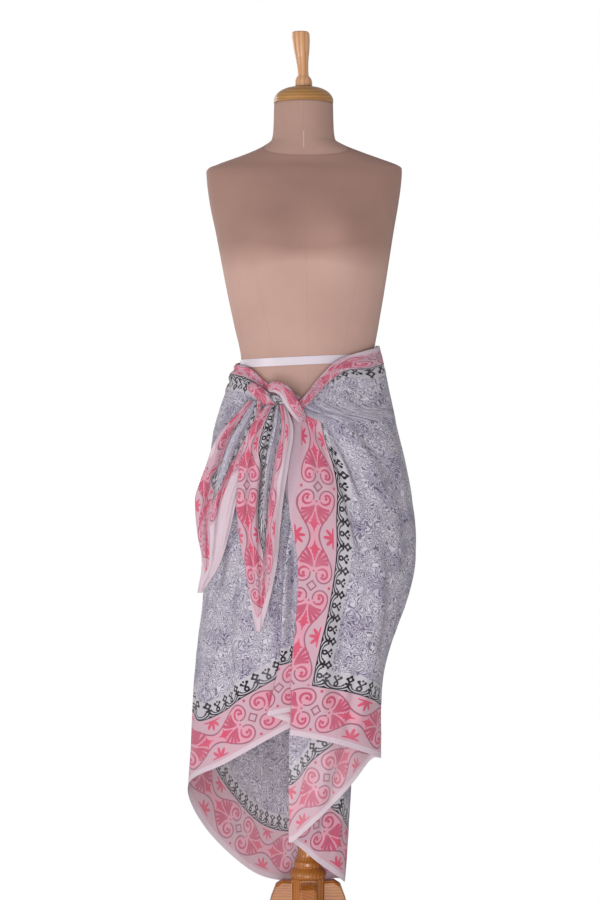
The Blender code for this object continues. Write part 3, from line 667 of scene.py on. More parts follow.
def vectorMath(operation, first, second):
    inputs = {0: first, "Scale" if operation == "SCALE" else 1: second}
    return out(first.tree, addNode(first.tree, "ShaderNodeVectorMath", {"operation": operation}, inputs))


def axesOf(place):
    node = addNode(place.tree, "ShaderNodeSeparateXYZ", None, {0: place})
    return [out(place.tree, node, axis) for axis in "XYZ"]


def noise(place, scale, detail, flat=False, name="Fac", distortion=0.0):
    # soft random values at a place in space, or on the flat cloth
    settings = {"noise_dimensions": "2D"} if flat else None
    values = {"Vector": place, "Scale": scale, "Detail": detail, "Distortion": distortion}
    return out(place.tree, addNode(place.tree, "ShaderNodeTexNoise", settings, values), name)


def sine(value):
    return value.maths("SINE", value)


def cosine(value):
    return value.maths("COSINE", value)


def angleOf(x, y):
    return x.maths("ARCTAN2", y, x)


def lengthOf(x, y):
    return (x * x + y * y) ** 0.5


def inside(distance, soft=0.35):
    # 1 where a distance in millimetres is below 0, with a soft edge
    return clamped(0.5 - distance / (2 * soft))


def line(distance, halfWidth, soft=0.35):
    return inside(abs(distance) - halfWidth, soft)


def mixed(factor, first, second):
    # the second colour laid over the first by a mask
    tree = next(value.tree for value in (factor, first, second) if isinstance(value, Wire))
    node = addNode(tree, "ShaderNodeMix", {"data_type": "RGBA"}, {"Factor": factor})
    for socket, value in ((node.inputs[6], first), (node.inputs[7], second)):
        if isinstance(value, Wire):
            tree.links.new(value.socket, socket)
        else:
            socket.default_value = (*value, 1)
    return Wire(tree, node.outputs[2])


def chosen(factor, first, second):
    # first where the mask is 0, second where it is 1, for numbers
    return first + (second - first) * factor


def startMaterial(name, **uniform):
    # a new material with one Principled shader; values that are the same all over are set on its own
    # sockets
    made = bpy.data.materials.new(name)
    made.use_nodes = True
    shader = made.node_tree.nodes["Principled BSDF"]
    for key, value in uniform.items():
        socket = shader.inputs[key.replace("_", " ")]
        socket.default_value = (*value, 1) if hasattr(value, "__len__") else value
    return made, made.node_tree, shader


def feed(shader, name, wire):
    wire.tree.links.new(wire.socket, shader.inputs[name])


def bumped(shader, height, distance, strength, before=None):
    # height as a bump on the shader, over an earlier bump if there is one
    tree = height.tree
    values = {"Height": height, "Distance": distance, "Strength": strength}
    node = addNode(tree, "ShaderNodeBump", None, values)
    if before is not None:
        tree.links.new(before.outputs[0], node.inputs["Normal"])
    tree.links.new(node.outputs[0], shader.inputs["Normal"])
    return node


def srgb(red, green, blue):
    # a colour as a painter's 0 to 255 values, turned into the renderer's linear ones
    shares = (red / 255, green / 255, blue / 255)
    return tuple(((c + 0.055) / 1.055) ** 2.4 if c > 0.04 else c / 12.92 for c in shares)


# The block print. Lengths are millimetres of flat cloth, angles degrees.
cottonPrint = {
    "endMargin": 25,
    "edgeMargin": 9,
    "bandWide": 80,
    "floretWide": 30,
    "bandPitch": 174,
    "hemStart": 102,
    "endStart": 90,
    "floretPitch": 42,
    "eye": (20.5, 18.5),
    "leaf": (44, 65, 81, 8.8),
    "margin": srgb(208, 188, 198),
    # the end's margin on the wound cloth, darker as painted shade
    "marginShaded": srgb(194, 167, 180),
    "fieldGround": srgb(206, 200, 212),
    "fieldLine": srgb(88, 79, 99),
    "fieldTint": srgb(176, 169, 188),
    "pinkPale": srgb(199, 162, 175),
    "pinkGround": srgb(212, 152, 169),
    "rose": srgb(206, 84, 112),
    "roseDeep": srgb(188, 86, 112),
    "mauve": srgb(146, 88, 108),
    "floretGround": srgb(188, 182, 190),
    "black": srgb(30, 27, 33),
    # how far the wrong side is mixed towards a pale colour, painted light that lifts its shaded inside
    "wrongSide": 0.13,
    "wrongSideLight": srgb(230, 218, 222),
    "threadPitch": 0.9,
}
looseMark = 10


def palmetteBand(along, across):
    # One unit is mirrored along the band and across it, so it is drawn in one quarter: u from the
    # unit's middle towards the next, v from the band's middle to its edge.
    p = cottonPrint
    pitch = p["bandPitch"]
    u = abs((along + pitch / 2) % pitch - pitch / 2)
    v = abs(across)
    degree = math.pi / 180
    # the outline swings out from the neck, and then winds round the volute, ever closer to its eye
    eyeU, eyeV = p["eye"]
    du, dv = u - eyeU, v - eyeV
    reach, turn = lengthOf(du, dv), angleOf(du, dv)
    opened = ((300 * degree - turn) / (2 * math.pi)) % 1.0 * (360 / 222)
    spiral = reach - 12.6 - 4.6 * opened * opened
    ogee = (v - 21.8 - 13.4 * cosine(clamped((u - 24) / 63) * math.pi)) * 0.9
    far = u > 24
    wind = line(spiral, 1.35) * (opened < 1.01) * (1 - far * (turn < 90 * degree))
    outline = higher(wind, line(ogee, 1.35) * far)
    within = chosen(far, chosen(opened < 1.0, 1 - (reach > 60), inside(spiral)), inside(ogee))
    within = within * (u + v > 15)
    # the volute's own curl goes on from the outline, wider, to the eye
    wound = ((turn + 60 * degree) / (2 * math.pi)) % 1.0 * 360
    curl = inside(abs(reach - 11.8 + 0.025 * wound) - 0.9 - 1.3 * clamped(wound / 60)) * (wound < 285)
    eye = inside(reach - 3.0)
    # the fan: four petals a side bend away from the leaf and widen outwards
    fanAt = lengthOf(u - 28, v)
    swept = angleOf(u - 28, v) / (0.58 + 0.0138 * fanAt) / degree
    petalPlace = ((swept - 13.5) % 14.7) - 7.35
    petals = inside(abs(petalPlace) * fanAt * degree - 3.0 * clamped((fanAt - 3) / 18))
    petals = petals * (swept > 13.5) * (swept < 72.3) * inside(fanAt - 46 + 0.25 * swept) * (fanAt > 5.5)
    # the leaf: it widens from its stalk to two barbs, then narrows at once to a long point
    stalk, barb, tip, wide = p["leaf"]
    grown, spent = clamped((u - stalk) / (barb - stalk)), clamped((u - barb) / (tip - barb))
    leafEdge = (1.4 + (wide - 1.4) * grown**1.5) * (1 - spent)**4 + 3.4 * (1 - spent)**0.8 * (spent > 0)
    leaf = inside(v - leafEdge * (1 - 0.25 * (sine(u * 0.95) > 0.5))) * (u > stalk) * (u < tip)
    # half flowers beside each neck: five fat pointed petals on the band's edge
    su, sv = pitch / 2 - u, 35 - v
    flower = inside(lengthOf(su, sv) - 8.5 - 10.5 * (0.5 + 0.5 * cosine(angleOf(su, sv) * 8))**0.8)
    flower = flower * inside(0 - sv)
    dots = higher(inside(lengthOf(u, v - 34) - 2.7), inside(lengthOf(u - 26, v) - 1.8))
    deep = higher(higher(curl, eye), higher(petals, dots))
    square = line(u + v - 8.6, 1.9)
    return within, higher(leaf, flower), deep, higher(outline, square)


def floretBorder(along, up):
    # Double scalloped lines that hang like bowls, a black wedge between two bowls with a stem and a
    # ring flower over it, and in each bowl a bud that forks into two dots. up is the distance from
    # the pink band.
    pitch = cottonPrint["floretPitch"]
    x = abs((along + pitch / 2) % pitch - pitch / 2)
    y = pitch / 2 - x
    bowl = lengthOf(y / (pitch / 2), (up - 12.0) / 10.0)
    lines = higher(line((bowl - 1.0) * 10.5, 1.1), line((bowl - 0.66) * 12.0, 0.9)) * (up < 12.0)
    wedge = higher((bowl > 1.25) * (up < 5.5), line(up - 0.9, 0.8))
    stem = higher(inside(x - 1.6) * (up > 7) * (up < 17), inside(lengthOf(x - 3.9, (up - 13.2) * 1.4) - 3.0))
    ringUp = up - 21.8
    ringAt = lengthOf(x, ringUp)
    ring = inside(ringAt - 6.4 - 1.3 * cosine(angleOf(x, ringUp) * 4)) * inside(2.3 - ringAt)
    budAt = lengthOf(y, (up - 10.2) * 0.95)
    bud = inside(budAt - 5.0) * inside(1.7 - budAt)
    fork = inside(abs((up - 15.5) - y * 0.95) / 1.38 - 1.4) * (y < 5.6)
    fork = higher(fork, inside(y - 1.1) * (up > 13.5) * (up < 17))
    tips = higher(inside(lengthOf(y - 5.6, up - 21.4) - 2.7), inside(lengthOf(y, up - 24.0) - 1.9))
    return higher(higher(higher(lines, wedge), higher(stem, ring)), higher(bud, higher(fork, tips)))


def fieldSprigs(u, v):
    # The field: curling stems are the level lines of a soft random height, denser where it is steep,
    # and small outlined flowers sit on a bent lattice of random middles.
    tree = u.tree
    place = out(tree, addNode(tree, "ShaderNodeCombineXYZ", None, {"X": u, "Y": v}))
    wobble = noise(place, 0.06, 1.0, True, "Color")
    bent = vectorMath("ADD", place, vectorMath("SCALE", wobble, 16.0))
    stems = line((noise(bent, 0.055, 1.0, True) * 8.5) % 1.0 - 0.5, 0.21, 0.10)
    values = {"Vector": bent, "Scale": 1 / 19, "Randomness": 0.8}
    cell = addNode(tree, "ShaderNodeTexVoronoi", {"voronoi_dimensions": "2D"}, values)
    du, dv, _ = axesOf(vectorMath("SUBTRACT", bent, out(tree, cell, "Position")))
    reach, turn = lengthOf(du, dv), angleOf(du, dv)
    flowerEdge = reach - 4.6 - 1.3 * cosine(turn * 5)
    petals = higher(line(flowerEdge, 0.75, 0.4), inside(reach - 1.5, 0.3))
    halo = line(flowerEdge - 2.6, 0.5, 0.4)
    drawn = chosen(inside(flowerEdge - 1.4, 0.3), stems, petals)
    return higher(drawn, halo * 0.6), noise(place, 0.022, 2.0, True)


def printedCotton(name, wrongSide):
    # The place on the flat cloth picks the part of the print: the margins, the palmette band along
    # the hem, the upper edge or the end, the floret border inside it, and the field.
    p = cottonPrint
    made, tree, shader = startMaterial(
        name, Roughness=0.82, Sheen_Weight=0.2, Sheen_Roughness=0.5, Specular_IOR_Level=0.2,
    )

    def coordinates(mapName):
        u, v, _ = axesOf(out(tree, addNode(tree, "ShaderNodeUVMap", {"uv_map": mapName})))
        return u * 1000, v * 1000

    clothU, clothV = coordinates("cloth")
    hemU, hemV = coordinates("hem")
    _, topV = coordinates("top")
    # the nearer long edge, and then whether a long edge or the end is nearer, by distance past the
    # margin
    edgeUp = lower(hemV, topV) - p["edgeMargin"]
    edgeAlong = chosen(hemV < topV, clothU, hemU)
    endUp = clothU - p["endMargin"]
    band = p["bandWide"]
    onEdge = higher(edgeUp < band, edgeUp < endUp)
    up = chosen(onEdge, endUp, edgeUp)
    along = chosen(onEdge, clothV - p["endStart"], edgeAlong - p["hemStart"])
    within, rose, deep, outline = palmetteBand(along, up - band / 2)
    florets = floretBorder(along, up - band)
    drawn, patch = fieldSprigs(clothU, clothV)
    ground = mixed(clamped((patch - 0.4) * 3.0), p["fieldGround"], p["fieldTint"])
    field = mixed(drawn * (0.62 + 0.45 * patch), ground, p["fieldLine"])
    # hand-printed colour is never even: it is thin where the block was dry
    dry = clamped(0.72 + 0.5 * patch)
    pink = mixed(within, p["pinkPale"], p["pinkGround"])
    for mask, ink in ((outline * 0.9, "mauve"), (deep, "roseDeep"), (rose, "rose")):
        pink = mixed(mask * dry, pink, p[ink])
    flowers = mixed(florets * dry, p["floretGround"], p["black"])
    colour = mixed(up < band + p["floretWide"], field, flowers)
    colour = mixed(up < band, colour, pink)
    colour = mixed(higher(lower(edgeUp, endUp) < 0, up < 0), colour, p["margin"])
    # on the wound cloth the end's margin is painted darker, as painted shade where it turns in
    colour = mixed((endUp < 0) * (topV < looseMark * 500), colour, p["marginShaded"])
    # the wrong side is mixed towards a pale colour: painted light that lifts its shaded inside
    if wrongSide:
        colour = mixed(p["wrongSide"], colour, p["wrongSideLight"])
    feed(shader, "Base Color", colour)
    # plain weave: threads both ways, the slubs of hand-spun yarn, the hem's stitches, and a soft
    # crumple
    turns = 2 * math.pi / p["threadPitch"]
    threads = sine(clothU * turns) * sine(clothV * turns)
    where = objectPlace(tree)
    stitch = line(lower(lower(hemV, topV), clothU) - 7.0, 0.5, 0.4)
    weave = bumped(shader, threads * 0.5 + noise(where, 110.0, 3.0) * 1.6 - stitch * 2.0, 0.0004, 0.5)
    bumped(shader, noise(where, 26.0, 3.0, distortion=0.5), 0.006, 0.5, weave)
    return made


# The two loose corners of the cloth. Rows run from the knot to the tip: the middle's x, y and z, the
# half width and the half depth of the folds, in mm. Folds give, across the cloth from one edge to the
# other, how far sideways and how far back it lies as shares of those. Corner gives where the flat
# cloth is: for each distance from the tip, how far each share across is from the short end and from
# the long edge.
tails = {
    "tail_left": {
        "rows": np.array([
            (-93, -118.4, 1095.5, 10, 6), (-103.5, -126.8, 1072, 20, 8), (-125, -127, 1032, 33, 10),
            (-142, -118, 982, 37, 11), (-162, -105, 922, 37, 10), (-168, -93, 862, 29, 9),
            (-173, -84, 807, 16, 7), (-191, -77, 758, 4, 3),
        ]),
        "folds": np.array([
            (0.00, -0.62, 0.70), (0.08, -0.94, 0.45), (0.14, -1.00, 0.05), (0.21, -0.86, -0.45),
            (0.29, -0.60, -0.60), (0.37, -0.42, 0.25), (0.45, -0.22, -0.40), (0.54, 0.04, -0.72),
            (0.62, 0.22, 0.05), (0.70, 0.40, -0.35), (0.85, 0.74, -0.85), (1.00, 1.00, -0.55),
        ]),
        "shares": (0, 0.14, 0.21, 0.33, 0.45, 0.56, 0.68, 0.80, 1),
        "corner": {
            0: ((0, 0, 0, 0, 0, 0, 0, 0, 0), (0, 0, 0, 0, 0, 0, 0, 0, 0)),
            40: ((44, 40, 36, 26, 22, 18, 12, 8, 0), (2, 4, 6, 11, 16, 22, 30, 36, 42)),
            120: ((150, 148, 146, 90, 24, 20, 14, 8, 0), (6, 14, 22, 60, 100, 112, 118, 120, 122)),
            175: ((205, 205, 205, 205, 150, 60, 24, 14, 0), (8, 14, 22, 50, 80, 140, 170, 175, 175)),
            215: ((250, 250, 250, 250, 240, 100, 26, 20, 0), (8, 20, 50, 92, 122, 190, 215, 215, 215)),
            258: ((300, 300, 300, 280, 200, 135, 104, 30, 0), (0, 2, 8, 14, 150, 240, 250, 258, 258)),
            312: ((350, 350, 350, 345, 300, 180, 134, 104, 60), (8, 14, 24, 70, 128, 250, 300, 312, 312)),
            400: ((440, 440, 440, 430, 380, 200, 134, 104, 70), (8, 16, 28, 80, 140, 300, 380, 400, 400)),
        },
        "flat": (0.09, 0.37),
    },
    "tail_right": {
        "rows": np.array([
            (-56, -134, 1088, 16, 7), (-63, -144.2, 1050, 36, 10), (-75, -146.2, 995, 42, 11),
            (-83, -142.2, 935, 41, 11), (-86, -137.2, 885, 38, 10), (-85, -132.2, 825, 32, 9),
            (-85, -128.2, 755, 19, 7), (-86, -125.2, 694, 4, 3),
        ]),
        "folds": np.array([
            (0.00, -0.60, 0.70), (0.08, -0.93, 0.45), (0.14, -1.00, 0.05), (0.20, -0.90, -0.50),
            (0.27, -0.66, -0.72), (0.33, -0.50, -0.25), (0.40, -0.34, -0.95), (0.47, -0.14, -0.60),
            (0.52, -0.04, 0.30), (0.58, 0.12, -0.45), (0.66, 0.26, -0.15), (0.71, 0.34, 0.35),
            (0.77, 0.46, -0.60), (0.86, 0.70, -0.85), (1.00, 1.00, 0.05),
        ]),
        "shares": (0, 0.14, 0.38, 0.53, 0.60, 0.66, 0.73, 0.80, 0.90, 1),
        "corner": {
            0: ((0, 0, 0, 0, 0, 0, 0, 0, 0, 0), (0, 0, 0, 0, 0, 0, 0, 0, 0, 0)),
            30: ((38, 37, 34, 28, 24, 20, 16, 12, 8, 0), (2, 6, 14, 20, 24, 27, 30, 32, 34, 36)),
            84: ((114, 112, 106, 98, 88, 72, 52, 36, 22, 0), (3, 14, 40, 58, 66, 72, 78, 82, 86, 90)),
            150: ((172, 172, 170, 168, 160, 112, 84, 52, 26, 0),
                  (8, 16, 56, 84, 93, 110, 130, 142, 148, 150)),
            197: ((218, 218, 218, 216, 170, 125, 98, 58, 26, 0),
                  (10, 18, 60, 92, 112, 150, 180, 192, 196, 197)),
            262: ((282, 282, 282, 282, 270, 190, 104, 28, 20, 0),
                  (12, 20, 66, 92, 122, 190, 240, 260, 262, 262)),
            340: ((376, 376, 376, 376, 376, 330, 130, 60, 28, 0),
                  (12, 22, 92, 112, 124, 200, 330, 340, 340, 340)),
            450: ((505, 505, 505, 505, 505, 470, 140, 70, 28, 0),
                  (14, 24, 92, 112, 124, 220, 440, 450, 450, 450)),
        },
        "flat": (0.12, 0.42),
    },
    "columns": 110,
    "rowStep": 0.0036,
    "opens": 0.4,
    "keeps": 0.30,
    "thickness": 0.0008,
    "pleats": 9,
    "pleatDepth": 0.0013,
    "crumple": 0.0012,
}


def looseMaps(place):
    # a loose piece has no upper edge of its own, so its top map is marked by a distance that no cloth
    # has
    return {"cloth": place, "hem": place, "top": place + np.array([0, looseMark])}


def buildTail(name, layers):
    # Cloth folded to and fro across its width along a smooth line, opening towards the tip into one
    # soft layer, with small gathers that fade as they leave the knot.
    p = tails[name]
    rows = p["rows"] * mm
    run = runAlong(rows[:, :3])
    rowCount = math.ceil(run[-1] / tails["rowStep"])
    at = np.linspace(0, run[-1], rowCount)[:, None]
    middle = smoothCurve(run, rows, at[:, 0], [True] * len(rows))
    share = np.linspace(0, 1, tails["columns"])
    across, back = smoothCurve(p["folds"][:, 0], p["folds"][:, 1:], share, [True] * len(p["folds"])).T
    opened = np.clip((at / run[-1] - tails["opens"]) / (1 - tails["opens"]), 0, 1)
    opened = opened * (1 - tails["keeps"] * (1 - opened))
    soft = 0.30 * np.sin(share * 7.5 + 0.8) * np.sin(share * math.pi)
    points = np.repeat(middle[:, None, :3], tails["columns"], axis=1)
    points[..., 0] += (across * (1 - opened) + (2 * share - 1) * opened) * middle[:, 3:4]
    points[..., 1] += (back * (1 - opened) + soft * opened) * middle[:, 4:5]
    gather = np.sin(2 * math.pi * (share * tails["pleats"] + 0.35 * softNoise(share, at, 0.16, 8)))
    gather *= np.clip(1 - at / (run[-1] * 0.75), 0.12, 1) * tails["pleatDepth"] * ramp(at, -0.01, 0.02)
    points = points + gridNormals(points) * gather[..., None]
    crumple = tails["crumple"] * softNoise(share * 0.12, at, 0.026, 9)
    points = points + gridNormals(points) * crumple[..., None]
    # the flat corner of the cloth
    reach = np.array(list(p["corner"]), float)
    corner = np.array(list(p["corner"].values()), float)
    spread = np.array([[np.interp(share, p["shares"], row) for row in both] for both in corner])
    place = smoothCurve(reach, spread.reshape(len(reach), -1), (run[-1] - at[:, 0]) / mm)
    place = place.reshape(rowCount, 2, -1).transpose(0, 2, 1) * mm
    # the printed side faces the front
    normals = gridNormals(points)
    if normals[rowCount // 2, tails["columns"] // 2, 1] > 0:
        points, normals, place = points[:, ::-1], -normals[:, ::-1], place[:, ::-1]
    piece = shellMesh("sarong_" + name, points, normals, tails["thickness"], layers, looseMaps(place))
    carry(piece, name)
    print(name, ": folded corner", points.shape[:2])


# The knot: a gathered core that the corners leave from, and the stretch that crosses over it. Rows in
# mm: the middle's x, y and z, the half height and the half depth. Print gives the distance from the
# free end where the piece starts, the distances from the long edge at its upper and lower side, and
# how much nearer it ends up.
knot = {
    "knot_core": {
        "rows": np.array([
            (-103, -101.3, 1125, 9, 7), (-86, -110.5, 1108, 11, 10), (-66, -116.3, 1096, 12, 13),
            (-48, -120.4, 1092, 12, 12), (-36, -124.4, 1085, 10, 8), (-26, -125.5, 1079, 7, 5),
        ]),
        "pleats": (7, 0.13),
        "twist": 0.9,
        "print": (460, 66, 142, 62),
    },
    "knot_band": {
        "rows": np.array([
            (-70, -115.6, 1117.5, 7, 4), (-55, -134.6, 1119, 9.5, 6), (-41, -146.6, 1111, 10.5, 7),
            (-30, -151.6, 1093, 11, 8), (-19, -145, 1077, 11, 7), (-8, -128.5, 1060, 8, 5),
        ]),
        "pleats": (5, 0.16),
        "twist": 0.35,
        "print": (500, -16, 84, 0),
    },
    "columns": 120,
    "rows": 110,
    "swell": 1.06,
}


def buildKnotPiece(name, cotton):
    # A closed tube of oval sections along a line, its outline drawn in between the pleats, which turn
    # slowly along it. Both ends close to a point inside the cloth that they leave.
    p = knot[name]
    rows = p["rows"] * mm
    run = runAlong(rows[:, :3])
    at = np.linspace(0, run[-1], knot["rows"])[:, None]
    middle = smoothCurve(run, rows, at[:, 0], [True] * len(rows))
    along = unit(np.gradient(middle[:, :3], axis=0))
    outward = np.array([0.0, -1.0, 0.0])
    deep = unit(outward - (along @ outward)[:, None] * along)
    across = np.cross(along, deep)
    turn = np.linspace(0, 2 * math.pi, knot["columns"], endpoint=False)
    count, depth = p["pleats"]
    share = at / run[-1]
    phase = count * turn + 2 * math.pi * p["twist"] * share + 1.3 * np.sin(2 * turn + 3 * share)
    pleat = 1 - depth * (0.5 + 0.5 * np.cos(phase)) ** 2 * (0.55 + 0.45 * np.sin(3 * turn + 5 * share))
    ends = np.sqrt(np.clip(1 - np.abs(2 * share - 1) ** 14, 0, 1)) + 1e-4
    swell = pleat * ends * knot["swell"]
    aside, forward = middle[:, 3:4] * np.cos(turn) * swell, middle[:, 4:5] * np.sin(turn) * swell
    points = middle[:, None, :3] + across[:, None] * aside[..., None] + deep[:, None] * forward[..., None]
    # the flat cloth: down the front from the upper side, and the same again behind
    start, top, low, slant = (v * mm for v in p["print"])
    half = np.abs(((turn / math.pi) + 1) % 2 - 1)
    down = 0.45 * (0.5 - 0.5 * np.cos(turn)) + 0.55 * half
    fromEdge = top + (low - top) * down - slant * ramp(1 - share, 0.25, 0.75)
    place = np.stack([start + at * 1.25 + 0 * fromEdge, fromEdge], axis=-1)
    return carry(tubeMesh("sarong_" + name, points, [cotton], looseMaps(place)), name)


# The dress form's cover: fine jersey stretched over the body, with its seams.
formCover = {
    "columns": 220,
    "rowStep": 0.0045,
    "waist": (srgb(204, 167, 155), srgb(190, 153, 142)),
    # the chest's tone is partly its own panel's and partly painted shade above the bust
    "chestToneAndShade": (srgb(172, 135, 124), srgb(158, 123, 112)),
    "neck": (srgb(190, 154, 141), srgb(176, 141, 129)),
    "seam": srgb(140, 110, 101),
    "stitch": srgb(216, 196, 186),
    "knitPitch": 0.0011,
    "neckSeam": (1.567, 0.58),
    "basting": (1.547, 1.578),
    "chestHeight": 1.352,
    "princess": (0.094, 0.20),
    "shoulderRows": (1.495, 1.575, 60),
    "lowerEdge": ((0.965, 0.0), (0.99, 0.0012), (0.998, 0.003)),
}


def formPoints(angle, z):
    # the form's oval sections with the two bust mounds added in front
    radius = formRadius(angle.ravel(), z.ravel()).reshape(z.shape)
    lean = formSection(z.ravel())[4].reshape(z.shape)
    x, y = radius * np.sin(angle), -radius * np.cos(angle)
    up = (z - form["bustHeight"]) / form["bustHigh"]
    aside = [(x - side * form["bustApart"]) / form["bustWide"] for side in (-1, 1)]
    mound = sum(np.exp(-(across**2) - up**2) for across in aside)
    y = y - form["bustDepth"] * mound * np.clip(np.cos(angle) * form["bustSides"], 0, 1)
    return np.stack([x + lean, y, z], axis=-1)


def jersey():
    # a fine knit: rows of small V loops as bump, three panels that differ in tone, the chest's darker tone
    # partly painted shade, and seam lines by place
    p = formCover
    made, tree, shader = startMaterial(
        "formJersey", Roughness=0.85, Sheen_Weight=0.35, Sheen_Roughness=0.45, Specular_IOR_Level=0.2,
        Sheen_Tint=srgb(225, 200, 190),
    )
    where = objectPlace(tree)
    x, y, z = axesOf(where)
    aside = x - form["sections"][-1][5] * clamped((z - 1.2) * 3.0)
    height, slope = p["neckSeam"]
    overNeck = z - height - slope * lower(y, 0.03)
    neck = line(overNeck * 1000, 0.9, 0.5)
    middle = line(aside * 1000, 0.7, 0.5)
    start, spread = p["princess"]
    sides = line((abs(aside) - start - spread * (z - 1.34)) * 1000, 0.7, 0.5) * (z < p["chestHeight"])
    sideSeam = line((y - 0.002) * 1000, 0.8, 0.5) * (z < 1.55)
    seams = higher(higher(neck, middle * 0.35), higher(sides * 0.35, sideSeam * 0.6))
    # the chest's tone begins softly, more so in the middle; it is partly the chest panel's own tone and
    # partly painted shade above the bust
    overChestAndShade = (z - p["chestHeight"]) / (0.050 - 0.026 * clamped(1.4 - abs(x) * 14)) + 0.5
    uneven = clamped((noise(where, 9.0, 3.0) - 0.3) * 1.6)
    waist, chestToneAndShade, throat = (mixed(uneven, p[name][1], p[name][0]) for name in ("waist", "chestToneAndShade", "neck"))
    tone = mixed(clamped(overNeck * 600), mixed(clamped(overChestAndShade), waist, chestToneAndShade), throat)
    tone = mixed(seams * 0.35, tone, p["seam"])
    low, high = p["basting"]
    tone = mixed(middle * (y < 0) * (z > low) * (z < high) * 0.75, tone, p["stitch"])
    fine = noise(where, 700.0, 2.0)
    feed(shader, "Base Color", mixed(fine * 0.18, tone, p["seam"]))
    pitch = p["knitPitch"]
    wales = abs(((angleOf(x, y) * 0.13 / pitch) % 1.0) - 0.5) * 2
    loops = sine((z / (pitch * 1.3) + wales * 0.5) * 2 * math.pi)
    knit = bumped(shader, loops * 0.5 + wales, 0.00025, 0.55)
    bumped(shader, fine * 0.15 - seams, 0.0007, 0.5, knit)
    return made


def buildForm(cover):
    p = formCover
    count = math.ceil((form["top"] - form["bottom"]) / p["rowStep"])
    # closer rows over the shoulders, where the sections change fast
    heights = np.linspace(form["bottom"], form["top"], count)
    heights = np.concatenate([heights, np.linspace(*p["shoulderRows"])])
    turn = np.linspace(0, 2 * math.pi, p["columns"], endpoint=False)
    rings = formPoints(*np.meshgrid(turn, np.unique(heights)))
    # the lower edge turns in over a small radius
    low = rings[0]
    centre = low.mean(axis=0)
    rounded = [centre + (low - centre) * (share, share, 1) + (0, 0, up) for share, up in p["lowerEdge"]]
    rings = np.concatenate([np.array(rounded), rings[1:]])
    carry(tubeMesh("form_torso", rings, [cover]), "torso")
    print("form cover:", rings.shape[:2])


# The satin ribbon round the waist.
ribbon = {
    "height": 1.168,
    "slope": 0.035 * 0.117,
    "wide": 0.015,
    "lift": 0.0013,
    "thick": 0.0006,
    # the section's points: across the ribbon, and out from the form
    "section": np.array([
        (-0.5, 0.5), (-0.49, 0.1), (-0.46, 0.0), (0.46, 0.0), (0.49, 0.1), (0.5, 0.5), (0.49, 0.9),
        (0.44, 1.0), (0.2, 1.12), (-0.2, 1.12), (-0.44, 1.0), (-0.49, 0.9),
    ]),
    "colour": srgb(218, 206, 214),
    "shade": srgb(192, 181, 194),
}


def satin():
    # satin: long smooth floats round the waist, so the gloss is soft and broad, with faint lengthwise
    # streaks and soft patches of painted shade
    made, tree, shader = startMaterial(
        "satinRibbon", Roughness=0.38, Sheen_Weight=0.2, Specular_IOR_Level=0.5,
    )
    where = objectPlace(tree)
    stretched = out(tree, addNode(tree, "ShaderNodeMapping", None, {"Vector": where, "Scale": (18, 18, 900)}))
    streak = noise(stretched, 1.0, 2.0)
    # the darker patches, placed at random and along the streaks, are painted satin shade
    satinShade = clamped(noise(where, 16.0, 1.0) * 1.3 - 0.3 + (streak - 0.5) * 0.3)
    feed(shader, "Base Color", mixed(satinShade, ribbon["colour"], ribbon["shade"]))
    bumped(shader, streak, 0.0002, 0.5)
    return made


def buildRibbon(finish):
    # a flat band with soft edges that follows the form, as closed rings of twelve points
    p = ribbon
    turn = np.linspace(0, 2 * math.pi, 240, endpoint=False)[:, None]
    across, outward = p["section"].T
    lean = formSection(np.array([p["height"]]))[4][0]
    z = p["height"] + p["slope"] * np.sin(turn) + across * p["wide"]
    radius = formRadius(np.repeat(turn, len(across)), z.ravel()).reshape(z.shape)
    radius = radius + p["lift"] + outward * p["thick"]
    rings = np.stack([lean + radius * np.sin(turn), -radius * np.cos(turn), z], axis=-1)
    index = np.arange(z.size).reshape(z.shape)
    beside, above = np.roll(index, -1, axis=0), np.roll(index, -1, axis=1)
    faces = np.stack([index, beside, np.roll(beside, -1, axis=1), above], axis=-1).reshape(-1, 4)
    mesh = bpy.data.meshes.new("form_ribbon")
    mesh.from_pydata(rings.reshape(-1, 3).tolist(), [], faces.tolist())
    mesh.update()
    mesh.shade_smooth()
    carry(addObject("form_ribbon", mesh, [finish]), "waist_ribbon")


# The stand and the neck: turned and sawn wood. Profiles are radius and height in metres.
stand = {
    "round": 96,
    "smoothing": 6,
    "neckMiddle": -0.008,
    "neck_cap": np.array([
        (0.0520, 0.0), (0.0535, 0.0015), (0.0535, 0.006), (0.0525, 0.010), (0.0500, 0.0145),
        (0.0460, 0.019), (0.0395, 0.0235), (0.0310, 0.027), (0.0220, 0.029), (0.0165, 0.030),
    ]),
    "capBase": 1.6333,
    "finial": np.array([
        (0.0150, 0.0), (0.0158, 0.003), (0.0155, 0.009), (0.0130, 0.0155), (0.0102, 0.0195),
        (0.0097, 0.023), (0.0103, 0.038), (0.0116, 0.050), (0.0138, 0.064), (0.0153, 0.077),
        (0.0161, 0.090), (0.0158, 0.096), (0.0140, 0.0985),
    ]),
    "finialBase": 1.6636,
    "finialLean": (-0.065, 0.012),
    "knob": np.array([
        (0.0300, 0.2405), (0.0325, 0.2435), (0.0330, 0.2475), (0.0315, 0.2525), (0.0270, 0.2585),
        (0.0245, 0.2615), (0.0255, 0.2645), (0.0250, 0.2695), (0.0215, 0.2745), (0.0185, 0.2815),
        (0.0175, 0.2960), (0.0165, 0.3000),
    ]),
    "pole": np.array([
        (0.0130, 0.3003), (0.0138, 0.3008), (0.0140, 0.3020), (0.0140, 0.8480), (0.0138, 0.8492),
        (0.0130, 0.8497),
    ]),
    "honey": (srgb(162, 94, 32), srgb(112, 58, 16), srgb(190, 122, 54)),
    "peach": (srgb(206, 150, 104), srgb(166, 106, 64), srgb(230, 186, 144)),
    "capTone": (srgb(168, 116, 58), srgb(128, 82, 36), srgb(196, 146, 84)),
}


